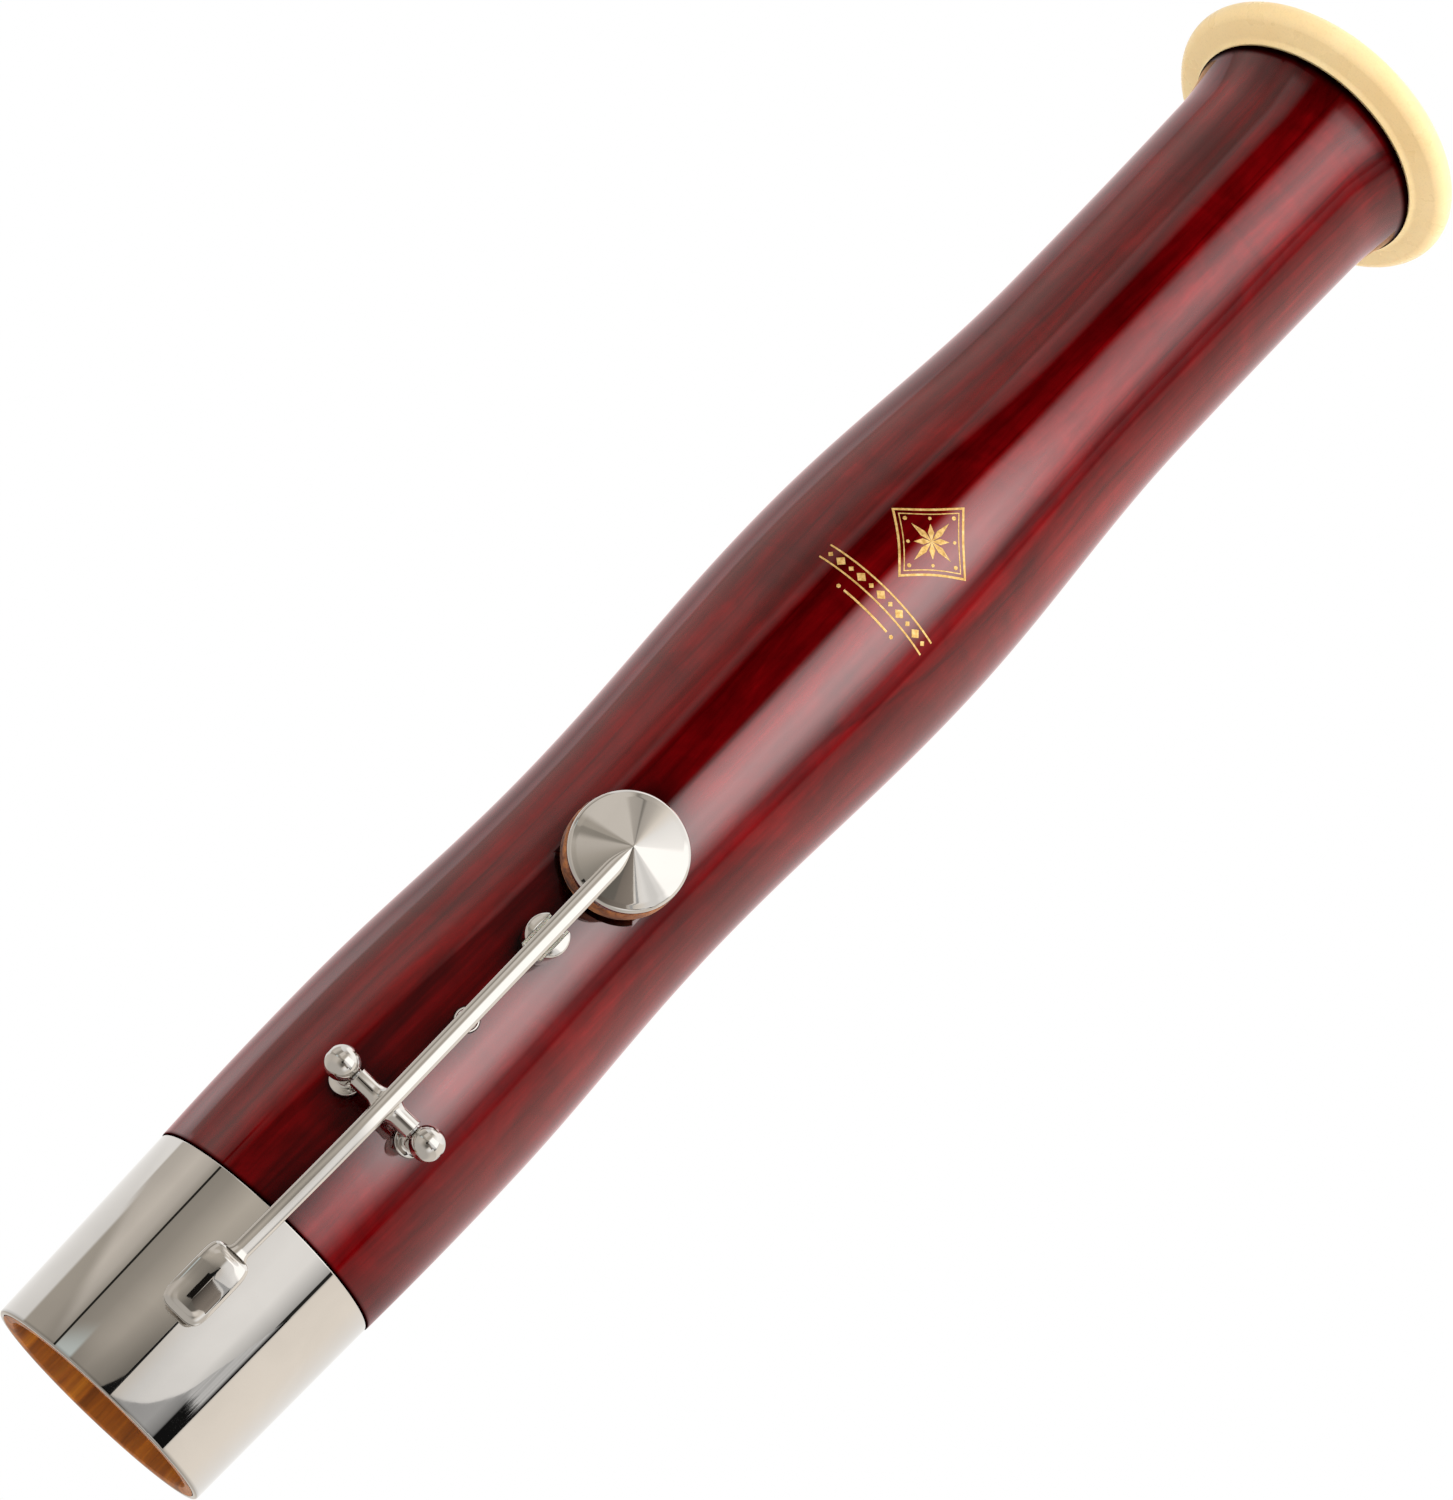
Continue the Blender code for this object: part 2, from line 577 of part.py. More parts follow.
def make_arm(pivot):
    inner = CUP_Y - CUP_RADIUS
    spots = stations(ARM_NECK_Y + FINE_GAP, -ARM_BEND_START, 9)
    spots += stations(ARM_BEND_START, inner - 2 * CUP_WALL, 4)
    spots += stations(inner - GAP, inner + CUP_WALL, 3)
    spots += stations(inner + 2 * CUP_WALL, CUP_Y - ARM_POINT_LENGTH - GAP, 2)
    spots += stations(CUP_Y - ARM_POINT_LENGTH + GAP, CUP_Y - ARM_POINT_SHORT, 5)
    arm = add_object("key_arm", loft([arm_section(y) for y in spots]), nickel_silver(), pivot)
    saddle = cylinder(TUBE_RADIUS + FINE_GAP, -2 * ARM_WIDTH, 2 * ARM_WIDTH)
    cut(arm, make_cutter("cut_saddle", saddle, pivot, (0, 0, 0), ALONG_X))
    base = arm_top(SCREW_Y) - ARM_DEPTH
    top = base + SCREW_GRIP + GAP
    hole = cylinder(SCREW_SHANK_RADIUS + FINE_GAP, base - SCREW_GRIP, top, SCREW_STEPS)
    cut(arm, make_cutter("cut_arm_screw_hole", hole, pivot, (arm_centre(SCREW_Y), SCREW_Y, 0)))


def make_hinge_tube(pivot):
    half = BALL_X - BALL_RADIUS - FINE_GAP
    edge = TUBE_EDGE
    outline = [(TUBE_BORE_RADIUS, -half), (TUBE_RADIUS - edge, -half), (TUBE_RADIUS, -half + edge)]
    outline += [(TUBE_RADIUS, half - edge), (TUBE_RADIUS - edge, half), (TUBE_BORE_RADIUS, half)]
    bm = lathe(outline, SMALL_STEPS)
    add_object("hinge_tube", bm, nickel_silver(), pivot, (HINGE_X, 0, 0), ALONG_X)


def make_cup(pivot):
    inner = CUP_RADIUS - CUP_WALL
    rounding = CUP_RADIUS - CUP_CONE_RADIUS
    slope_start = CUP_CONE_RADIUS - rounding / 2
    outline = [(inner, CUP_RIM), (CUP_RADIUS - CUP_EDGE, CUP_RIM), (CUP_RADIUS, CUP_RIM + CUP_EDGE)]
    outline += arc((CUP_CONE_RADIUS, CUP_SHOULDER - rounding), rounding, 0, 75, 4)
    outline += [(r, cup_height(r)) for r in (slope_start, CUP_CONE_RADIUS / 2)]
    outline += [(0, CUP_APEX), (0, CUP_APEX - CUP_WALL), (inner, CUP_SHOULDER - CUP_FLOOR_DROP)]
    add_object("pad_cup", lathe(outline, CUP_STEPS), nickel_silver(), pivot, (0, CUP_Y, 0))


def pad_stack_levels():
    """Heights of the pad's layers inside the cup."""
    back = CUP_SHOULDER - PAD_BACK_DROP
    card_top = back - PAD_SKIN - FINE_GAP
    card_low = card_top - PAD_CARD
    felt_low = PAD_FACE + PAD_SKIN + FINE_GAP
    return back, card_top, card_low, felt_low


def make_pad(pivot):
    back, card_top, card_low, felt_low = pad_stack_levels()
    shelf = CUP_RIM - PAD_SHELF_GAP
    neck, fold = PAD_INSIDE_RADIUS, PAD_FOLD_RADIUS
    wide, skin, rounding = PAD_RADIUS, PAD_SKIN, PAD_ROUND
    outline = [(0, PAD_FACE)]
    outline += arc((wide - rounding, PAD_FACE + rounding), rounding, -90, 0, 4)
    outline += [(wide, shelf - rounding), (wide - rounding / 2, shelf), (neck, shelf + FINE_GAP)]
    outline += [(neck, back), (fold, back), (fold, back - skin), (neck - skin, back - skin)]
    outline += [(neck - skin, shelf - GAP), (wide - 2 * skin, shelf - 2 * GAP)]
    outline += [(wide - skin, shelf - 2 * skin), (wide - skin, PAD_FACE + rounding)]
    outline += [(wide - rounding - skin, PAD_FACE + skin), (0, PAD_FACE + skin)]
    spot = (0, CUP_Y, 0)
    add_object("pad_skin", lathe(outline, CUP_STEPS), tan_leather(), pivot, spot)

    inside = neck - skin - FINE_GAP
    outside = wide - skin - FINE_GAP
    outline = [(0, felt_low), (outside - rounding, felt_low)]
    outline += [(outside, PAD_FACE + rounding + FINE_GAP), (outside, shelf - 2.5 * skin)]
    outline += [(inside, shelf - 2.5 * GAP)]
    outline += [(inside, card_low - FINE_GAP), (0, card_low - FINE_GAP)]
    add_object("pad_felt", lathe(outline, CUP_STEPS), white_felt(), pivot, spot)

    card = cylinder(inside, card_low, card_top, CUP_STEPS)
    add_object("pad_card", card, grey_card(), pivot, spot)

    inner = CUP_RADIUS - CUP_WALL - GAP
    low = back + FINE_GAP
    rise = CUP_APEX - CUP_WALL - GAP
    edge = inner - SHELLAC_RIM
    outline = [(0, low), (edge, low), (edge, low + FINE_GAP), (0, rise)]
    add_object("pad_shellac", lathe(outline, CUP_STEPS), amber_shellac(), pivot, spot)


def rounded_outline(half_x, half_y, radius, height, corner_steps=4):
    """A rounded rectangle at one height."""
    points = []
    corners = ((1, 1, 0), (-1, 1, 90), (-1, -1, 180), (1, -1, 270))
    for sign_x, sign_y, start in corners:
        centre = (sign_x * (half_x - radius), sign_y * (half_y - radius))
        points += [(x, y, height) for x, y in arc(centre, radius, start, start + 90, corner_steps)]
    return points


def make_touch(pivot):
    half_x, half_y = TOUCH_WIDTH / 2, TOUCH_LENGTH / 2
    low = TOUCH_TOP - TOUCH_THICK
    rings = []
    for inset, rise in TOUCH_PROFILE:
        corner = max(TOUCH_CORNER - inset, TOUCH_SMALLEST_CORNER)
        rings.append(rounded_outline(half_x - inset, half_y - inset, corner, low + rise))
    spot = (TOUCH_X, TOUCH_Y, 0)
    add_object("touch_plate", loft(rings), nickel_silver(), pivot, spot)

    top = low - FINE_GAP
    rest = ferrule_radius(TOUCH_MID_Z) + GAP - HINGE_HEIGHT - TOUCH_Y * math.sin(OPEN_ANGLE)
    rings = []
    levels = ((CORK_INSET + CORK_EDGE, rest), (CORK_INSET, rest + CORK_EDGE), (CORK_INSET, top))
    for inset, height in levels:
        rings.append(rounded_outline(half_x - inset, half_y - inset, CORK_CORNER, height, 3))
    add_object("touch_cork", loft(rings), cork(), pivot, spot)


def spring_height(y):
    """Middle of the flat spring below the arm, from its screw to its tip on the plate."""
    seat = arm_top(SCREW_Y) - ARM_DEPTH - FINE_GAP - SPRING_THICK / 2
    tip_y = (SPRING_PLATE_Z - HINGE_Z) / math.cos(OPEN_ANGLE)
    plate = bell_radius(SPRING_PLATE_Z) + SPRING_PLATE_LIP + FINE_GAP
    tip = plate - HINGE_HEIGHT - tip_y * math.sin(OPEN_ANGLE) + SPRING_THICK / 2
    share = max((y - SPRING_BEND) / (tip_y - SPRING_BEND), 0.0)
    slope = ARM_SLOPE * (y - SCREW_Y)
    return seat - slope + (tip - seat + ARM_SLOPE * (tip_y - SCREW_Y)) * share**SPRING_CURVE


def make_spring(pivot):
    tip_y = (SPRING_PLATE_Z - HINGE_Z) / math.cos(OPEN_ANGLE)
    sections = []
    for y in [SPRING_HEEL] + stations(SPRING_BEND, tip_y, 8):
        half = SPRING_WIDTH / 2 - SPRING_TAPER * ease(y, SPRING_BEND, tip_y)
        x = arm_centre(y)
        middle = spring_height(y)
        low, high = middle - SPRING_THICK / 2, middle + SPRING_THICK / 2
        section = [(x - half, y, low), (x + half, y, low), (x + half, y, high), (x - half, y, high)]
        sections.append(section)
    spring = add_object("flat_spring", loft(sections), blue_steel(), pivot)
    hole = cylinder(SCREW_SHANK_RADIUS + FINE_GAP, -CUT_ABOVE, CUT_ABOVE, SCREW_STEPS)
    cut(spring, make_cutter("cut_spring_hole", hole, pivot, (arm_centre(SCREW_Y), SCREW_Y, 0)))


def make_spring_screw(pivot):
    head_top = spring_height(SCREW_Y) - SPRING_THICK / 2 - FINE_GAP
    head_low = head_top - SCREW_HEAD_HEIGHT
    tip = arm_top(SCREW_Y) - ARM_DEPTH + SCREW_GRIP
    radius, shank, edge = SCREW_HEAD_RADIUS, SCREW_SHANK_RADIUS, SCREW_HEAD_EDGE
    outline = [(0, head_low), (radius - edge, head_low), (radius, head_low + edge)]
    outline += [(radius, head_top), (shank, head_top), (shank, tip), (0, tip)]
    spot = (arm_centre(SCREW_Y), SCREW_Y, 0)
    screw = add_object("spring_screw", lathe(outline, SCREW_STEPS), steel(), pivot, spot)
    slot = block((SCREW_SLOT_WIDTH, 4 * radius, 2 * SCREW_SLOT_DEPTH), (0, 0, head_low))
    cut(screw, make_cutter("cut_screw_slot", slot, pivot, spot))


def main():
    clear_scene()
    body = make_bell_body()
    make_ferrule()
    make_ring()
    cutters = make_posts()
    cutters += [make_tone_hole_cutter(), make_guide(), make_spring_plate()]
    cut_all(body, cutters)
    make_hinge_rod()
    make_liner()

    key_turn = (math.pi / 2 + OPEN_ANGLE, 0, 0)
    pivot = add_empty("key_pivot", (0, -HINGE_HEIGHT, HINGE_Z), key_turn)
    make_hinge_tube(pivot)
    make_arm(pivot)
    make_cup(pivot)
    make_pad(pivot)
    make_touch(pivot)
    make_spring(pivot)
    make_spring_screw(pivot)


main()
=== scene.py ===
"""Looks of a bassoon's bell joint: wood, ring, ferrule and the low B flat key.

Lengths are in millimetres, and MM turns them to metres where Blender is given them.
+Z runs up the bell from its socket to its mouth, and the key lies on -Y. Key pieces are
drawn in the key's own axes: X across, Y up the bell, Z outwards.
"""

from math import acos, atan2, copysign, cos, degrees, exp, hypot, pi, radians, sin, sqrt

import bmesh
import bpy
from mathutils import Euler, Matrix, Vector, noise


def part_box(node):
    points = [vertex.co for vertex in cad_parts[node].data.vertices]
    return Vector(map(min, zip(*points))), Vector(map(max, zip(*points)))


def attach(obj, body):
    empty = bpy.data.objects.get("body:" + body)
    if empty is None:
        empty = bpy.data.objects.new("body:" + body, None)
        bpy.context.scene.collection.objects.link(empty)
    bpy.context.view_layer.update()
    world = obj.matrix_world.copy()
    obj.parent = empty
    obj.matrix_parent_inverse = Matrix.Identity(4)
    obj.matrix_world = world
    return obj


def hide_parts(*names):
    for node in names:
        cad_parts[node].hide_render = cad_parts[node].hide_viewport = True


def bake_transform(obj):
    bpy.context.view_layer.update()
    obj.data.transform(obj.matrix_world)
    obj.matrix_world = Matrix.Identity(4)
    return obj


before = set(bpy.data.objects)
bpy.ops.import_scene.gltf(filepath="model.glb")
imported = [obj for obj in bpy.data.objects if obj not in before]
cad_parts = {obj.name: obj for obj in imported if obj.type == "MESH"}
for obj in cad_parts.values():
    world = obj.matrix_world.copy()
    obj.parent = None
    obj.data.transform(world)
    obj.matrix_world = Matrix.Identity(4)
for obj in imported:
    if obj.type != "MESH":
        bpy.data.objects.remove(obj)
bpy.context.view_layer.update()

MM = 0.001  # one millimetre in metres

# ---- the bell
FERRULE_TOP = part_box("socket_ferrule")[1].z / MM
FERRULE_FOOT_RADIUS = 21.8
FERRULE_TOP_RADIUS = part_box("socket_ferrule")[1].x / MM
FERRULE_WALL = 0.9
WOOD_FOOT_RADIUS = 23.15
SWELL_Z, SWELL_RADIUS = 74.0, 24.0
WAIST_Z, WAIST_RADIUS = 123.6, 22.45
BELLY_Z, BELLY_RADIUS = 194.6, 25.26
THROAT_Z, THROAT_RADIUS = 262.0, 22.2
NECK_Z, NECK_RADIUS = 315.0, 22.85
LIP_Z, LIP_RADIUS = 328.4, 25.04
SOCKET_RADIUS, SOCKET_DEPTH = 18.85, 36.0
BORE_FOOT_RADIUS, BORE_MOUTH_RADIUS = 16.4, 18.6
TENON_RADIUS, TENON_TOP = 21.8, 333.4
RING_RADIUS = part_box("bell_ring")[1].x / MM
RING_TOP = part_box("bell_ring")[1].z / MM
RING_ROUND = 2.45
RING_INNER = 18.9

# ---- tone hole, posts, guide
TONE_HOLE_RADIUS = 6.75
SEAT_HEIGHT, SEAT_RADIUS = 20.7, 10.9
SEAT_INNER = 19.5
HINGE = Vector((-0.35, -29.996, 61.4))
HINGE_HEIGHT = -HINGE.y
POST_ANGLE = radians(17.2)
POST_REACH = 31.4
BALL_RADIUS = 3.0
BALL_X = POST_REACH * sin(POST_ANGLE)
TUBE_RADIUS, TUBE_BORE = 1.8, 0.97
ROD_RADIUS, ROD_HEAD_RADIUS, ROD_HOLE = 0.90, 1.1, 1.02
GUIDE_Z, GUIDE_X = 99.85, -0.14
GUIDE_RADIUS, GUIDE_TOP, GUIDE_FLOOR = 3.8, 31.3, 27.0
GUIDE_SLOT_HALF = 2.2
LINER_INNER_HALF, LINER_TOP = 1.72, 30.3
PLATE_Z, PLATE_RADIUS = 82.0, 2.15

# ---- key
OPEN_ANGLE = radians(2.45)
KEY_MATRIX = Matrix.Translation((0, HINGE.y, HINGE.z)) @ Matrix.Rotation(pi / 2 + OPEN_ANGLE, 4, "X")
ARM_WIDTH, ARM_DEPTH, ARM_TOP = 3.2, 2.8, 3.0
ARM_SKEW, ARM_OFFSET, ARM_POINT = -0.58, -0.13, 5.2
CUP_Y, CUP_RADIUS, CONE_RADIUS, CONE_HEIGHT = 58.75, 10.45, 9.5, 3.5
CUP_SIDE, CUP_WALL = 1.6, 0.75
PAD_STAND, PAD_RADIUS = 5.2, 10.65
TOUCH_LENGTH, TOUCH_WIDTH, TOUCH_THICK = 13.2, 8.1, 2.3
TOUCH_TOP, TOUCH_X = -0.80, -1.09
SPRING_WIDTH, SPRING_THICK = 2.2, 0.35
SCREW_Y = 6.2
PAD_FACE = SEAT_HEIGHT + 0.1 - HINGE_HEIGHT
CUP_RIM = PAD_FACE + PAD_STAND
CUP_SHOULDER = CUP_RIM + CUP_SIDE
CUP_APEX = CUP_SHOULDER + CONE_HEIGHT
TOUCH_Y = (22.1 - HINGE.z) / cos(OPEN_ANGLE)
ARM_NECK_Y = TOUCH_Y + TOUCH_LENGTH / 2
ARM_SLOPE = (ARM_TOP - CUP_APEX) / CUP_Y
SPRING_BEND_Y, SPRING_TIP_Y = 8.5, (PLATE_Z - HINGE.z) / cos(OPEN_ANGLE)

# ---- printed ornament
EMBLEM_Z, EMBLEM_TURN = 201.0, radians(1.6)
FOIL_RISE, FOIL_SINK = 0.030, -0.05

# ---- looks and studio
PLATING = (0.690, 0.668, 0.640)
WHITE = (1.0, 1.0, 1.0)
BELL_STEPS, CUP_STEPS, SEAT_STEPS, BALL_STEPS, PIN_STEPS, ROD_STEPS = 288, 192, 144, 96, 64, 48
FLOOR_Z, FLOOR_RADIUS = -75, 2500
# Painted reflection cards: their distance and the height of their foot.
PAINTED_CARD_RADIUS, PAINTED_CARD_FOOT = 500, 13
LIGHT_SPOT, LIGHT_AIM = Vector((900, -1000, 900)), Vector((0, 0, 170))
LIGHT_SIZE, LIGHT_WATTS = 800, 6.0
CAMERA_SPOT = Vector((0, -569.4, -57.9))
CAMERA_TILT, CAMERA_ROLL = radians(20.59), radians(43.786)
SENSOR_WIDTH, LENS = 36.0, 82.666


# ---- shader graphs
class Graph:
    """Short names for the nodes that the materials below are made of."""

    def __init__(self, tree):
        self.tree = tree
        tree.nodes.clear()

    def node(self, kind, inputs=(), **settings):
        made = self.tree.nodes.new(kind)
        for key, value in settings.items():
            setattr(made, key, value)
        for key, value in dict(inputs).items():
            self.plug(made.inputs[key], value)
        return made

    def plug(self, socket, value):
        if isinstance(value, bpy.types.NodeSocket):
            self.tree.links.new(value, socket)
        elif hasattr(socket.default_value, "__len__") and not hasattr(value, "__len__"):
            socket.default_value = [value] * len(socket.default_value)
        elif hasattr(value, "__len__") and len(value) == 3 and len(socket.default_value) == 4:
            socket.default_value = (*value, 1.0)
        else:
            socket.default_value = value

    def math(self, operation, *values, clamp=False):
        made = self.node("ShaderNodeMath", enumerate(values), operation=operation, use_clamp=clamp)
        return made.outputs[0]

    def product(self, one, other, clamp=False):
        return self.math("MULTIPLY", one, other, clamp=clamp)

    def vector(self, operation, *values):
        return self.node("ShaderNodeVectorMath", enumerate(values), operation=operation).outputs

    def smooth(self, value, low, high, start=0.0, end=1.0):
        """start up to low, end from high on, with a smooth step between."""
        inputs = {"Value": value, "From Min": low, "From Max": high, "To Min": start, "To Max": end}
        return self.node("ShaderNodeMapRange", inputs, interpolation_type="SMOOTHSTEP").outputs[0]

    def mix(self, share, one, other, blend="MIX"):
        inputs = {0: share, 6: one, 7: other}
        made = self.node("ShaderNodeMix", inputs, data_type="RGBA", blend_type=blend)
        return made.outputs[2]

    def times(self, colour, factor):
        return self.mix(1.0, colour, factor, "MULTIPLY")

    def ramp(self, share, stops):
        made = self.node("ShaderNodeValToRGB", {0: share})
        table = made.color_ramp
        while len(table.elements) < len(stops):
            table.elements.new(0.5)
        for element, (place, colour) in zip(table.elements, stops):
            element.position = place
            if not hasattr(colour, "__len__"):
                colour = (colour, colour, colour)
            element.color = (*colour, 1.0)
        return made.outputs[0]

    def place(self, scale):
        """The piece's own coordinates in metres, scaled."""
        point = self.node("ShaderNodeTexCoord").outputs["Object"]
        return self.node("ShaderNodeMapping", {"Vector": point, "Scale": scale}).outputs[0]

    def height(self):
        """Height up the bell in millimetres."""
        return self.node("ShaderNodeSeparateXYZ", {0: self.place(1 / MM)}).outputs[2]

    def noise(self, scale, detail=3.0, rough=0.5, bend=0.0):
        """Noise with scale cells to the metre, or as many along each axis as scale says."""
        inputs = {"Vector": self.place(scale), "Scale": 1.0, "Detail": detail, "Roughness": rough}
        inputs["Distortion"] = bend
        return self.node("ShaderNodeTexNoise", inputs).outputs["Fac"]

    def bump(self, height, depth, normal=None):
        """Relief of a depth in millimetres."""
        inputs = {"Height": height, "Distance": depth * MM, "Strength": 1.0}
        if normal is not None:
            inputs["Normal"] = normal
        return self.node("ShaderNodeBump", inputs).outputs[0]

    def azimuth(self, direction):
        """Turn of a direction about Z as a share of a full turn: a half is -Y, more is towards +X."""
        parts = self.node("ShaderNodeSeparateXYZ", {0: direction})
        turn = self.math("ARCTAN2", parts.outputs[0], self.product(parts.outputs[1], -1.0))
        return self.math("MULTIPLY_ADD", turn, 0.5 / pi, 0.5), parts.outputs[2]

    def principled(self, **inputs):
        names = {key.replace("_", " "): value for key, value in inputs.items()}
        return self.node("ShaderNodeBsdfPrincipled", names).outputs[0]


class Surface(Graph):
    """The graph of a new material."""

    def __init__(self, name):
        self.material = bpy.data.materials.new(name)
        self.material.use_nodes = True
        super().__init__(self.material.node_tree)

    def finish(self, shader):
        self.node("ShaderNodeOutputMaterial", {"Surface": shader})
        return self.material

    def paint(self, colour, normal, roughness, **inputs):
        return self.finish(self.principled(Base_Color=colour, Normal=normal, Roughness=roughness, **inputs))


def around(table):
    """Ramp stops given in degrees of azimuth, -180 to 180."""
    return [((angle + 180.0) / 360.0, value) for angle, value in table]


def sine(angle):
    """Rise of a direction that points so many degrees up."""
    return sin(radians(angle))


def lacquered_maple():
    """Red stained maple under thick clear lacquer that mirrors the studio."""
    g = Surface("red_lacquered_maple")
    broad = g.noise((34, 34, 3.2), detail=4, rough=0.55, bend=0.6)
    streak = g.noise((130, 130, 13), detail=5, rough=0.68, bend=0.9)
    fibre = g.noise((900, 900, 45), detail=3, rough=0.6)
    figure = g.noise((42, 42, 80), detail=3, rough=0.6, bend=1.6)
    cloud = g.noise((62, 62, 24), detail=4, rough=0.6, bend=0.8)
    colour = g.ramp(g.math("MULTIPLY_ADD", streak, 0.55, g.product(broad, 0.45)), [
        (0.34, (0.052, 0.0002, 0.0007)), (0.44, (0.092, 0.0003, 0.0011)),
        (0.54, (0.150, 0.0007, 0.0018)), (0.64, (0.215, 0.0024, 0.0040)),
    ])
    colour = g.times(colour, g.ramp(fibre, [(0.3, 0.80), (0.7, 1.16)]))
    colour = g.times(colour, g.ramp(figure, [(0.35, 0.84), (0.65, 1.16)]))
    colour = g.times(colour, g.ramp(cloud, [(0.32, 0.66), (0.68, 1.32)]))
    vein = g.noise((38, 38, 2.6), detail=5, rough=0.45, bend=0.5)
    vein = g.math("ABSOLUTE", g.math("SUBTRACT", vein, 0.5))
    colour = g.times(colour, g.smooth(vein, 0.0, 0.012, 0.66, 1.0))

    # The direction that the rippled lacquer mirrors.
    ripple = g.bump(g.noise((55, 55, 22), detail=1), 0.16)
    ripple = g.bump(g.noise((420, 420, 260), detail=2), 0.004, ripple)
    geometry = g.node("ShaderNodeNewGeometry").outputs
    away = g.vector("MULTIPLY", geometry["Incoming"], (-1.0, -1.0, -1.0))[0]
    turn, rise = g.azimuth(g.vector("REFLECT", away, ripple)[0])
    height = g.height()

    # Light on the stain: side light, the ferrule's dusk, the shade of the key and of both joints.
    glow = g.ramp(turn, around([
        (-60, 0.84), (-46, 0.72), (-36, 0.60), (-10, 0.64), (2, 0.95), (24, 1.02),
        (46, 1.0), (56, 0.86), (64, 0.86), (78, 0.76),
    ]))
    colour = g.times(colour, glow)
    dusk = g.smooth(height, FERRULE_TOP + 2, FERRULE_TOP + 34, 0.66, 1.0)
    dusk = g.mix(g.smooth(turn, 0.5, 0.5 + 10 / 360), WHITE, dusk)
    colour = g.times(colour, dusk)
    shadow = g.node("ShaderNodeAmbientOcclusion", {"Distance": 9 * MM}, samples=8).outputs["AO"]
    colour = g.times(colour, g.smooth(shadow, 0.58, 0.99, 0.05, 1.0))
    colour = g.times(colour, g.smooth(height, NECK_Z, LIP_Z - 2, 1.0, 0.60))
    joint = g.product(
        g.smooth(height, LIP_Z - 2.4, LIP_Z - 0.8, 1.0, 0.05),
        g.smooth(height, FERRULE_TOP, FERRULE_TOP + 0.9, 0.12, 1.0),
    )
    colour = g.times(colour, joint)

    # Bands of gloss, by the azimuth of what the lacquer mirrors; they lean with the height.
    shift = g.ramp(g.product(height, 0.003), [
        (0.14, 17 / 360), (0.21, 10 / 360), (0.30, 2 / 360), (0.60, 0.0),
    ])
    shift = g.math("SUBTRACT", shift, g.smooth(height, 205, 245, 0.0, 10 / 360))
    left = g.ramp(g.math("ADD", turn, shift), around([
        (-180, 0.042), (-130, 0.034), (-112, 0.078), (-88, 0.052), (-66, 0.096), (-52, 0.054),
        (-46, 0.040), (-40, 0.0),
    ]))
    right = g.ramp(turn, around([
        (-6, 0.0), (0, 0.095), (8, 0.150), (24, 0.215),
        (36, 0.185), (46, 0.085), (55, 0.016), (67, 0.012), (70, 0.030), (90, 0.048),
        (110, 0.053), (130, 0.045), (180, 0.042),
    ]))
    right = g.product(right, g.smooth(height, FERRULE_TOP + 1, FERRULE_TOP + 26, 0.62, 1.0))
    veil = g.smooth(height, 100, 150, 0.008, 0.0)
    sheen = g.math("MAXIMUM", g.math("MAXIMUM", left, right), veil)
    # Only what is mirrored from above the horizon is bright.
    upright = g.node("ShaderNodeSeparateXYZ", {0: geometry["Normal"]}).outputs[2]
    least = g.smooth(upright, -0.22, -0.08, 0.02, 0.85)
    low = g.smooth(rise, sine(-3), sine(15), least, 1.0)
    inside = g.math("LESS_THAN", g.math("ABSOLUTE", g.math("SUBTRACT", turn, 0.5 + 24 / 360)), 34 / 360)
    fade = g.smooth(height, 200, 245, 0.0, 0.48)
    high = g.math("SUBTRACT", 1.0, g.product(fade, inside))
    fresnel = g.node("ShaderNodeFresnel", {"IOR": 1.5, "Normal": ripple}).outputs[0]
    share = g.product(g.product(g.product(sheen, low), high), joint)
    share = g.product(share, g.product(fresnel, 25.0), clamp=True)
    base = g.principled(Base_Color=colour, Roughness=0.5, Specular_IOR_Level=0.0, Normal=ripple)
    inputs = {"Color": (1.0, 0.80, 0.81), "Roughness": 0.055, "Normal": ripple}
    gloss = g.node("ShaderNodeBsdfAnisotropic", inputs).outputs[0]
    return g.finish(g.node("ShaderNodeMixShader", {0: share, 1: base, 2: gloss}).outputs[0])


def bare_maple():
    """Varnished orange brown maple inside the socket, bore and tone hole."""
    g = Surface("varnished_bare_maple")
    streak = g.noise((160, 160, 14), detail=4, rough=0.6, bend=1.0)
    fibre = g.noise((1100, 1100, 60), detail=2)
    brown, orange, pale = (0.17, 0.042, 0.001), (0.34, 0.090, 0.001), (0.50, 0.160, 0.003)
    colour = g.ramp(streak, [(0.30, brown), (0.50, orange), (0.70, pale)])
    colour = g.times(colour, g.ramp(fibre, [(0.35, 0.80), (0.65, 1.12)]))
    coat = {"Coat_Weight": 0.10, "Coat_Roughness": 0.15}
    return g.paint(colour, g.bump(fibre, 0.02), 0.45, Specular_IOR_Level=0.2, **coat)


def cream_resin():
    """Cast resin with a faint milky mottle and a soft polish."""
    g = Surface("cream_resin")
    cloud = g.noise(70, detail=3, bend=0.5)
    speck = g.noise(2600, detail=1)
    colour = g.ramp(cloud, [(0.30, (0.900, 0.660, 0.335)), (0.70, (0.955, 0.735, 0.405))])
    colour = g.times(colour, g.ramp(speck, [(0.25, 0.94), (0.5, 1.0)]))
    rough = g.smooth(g.noise(180, detail=3), 0.35, 0.65, 0.26, 0.38)
    normal = g.bump(g.noise(500, detail=2), 0.01)
    return g.paint(
        colour, normal, rough, Specular_IOR_Level=0.45,
        Subsurface_Weight=0.15, Subsurface_Radius=(1.0, 0.7, 0.4), Subsurface_Scale=1.2 * MM,
    )


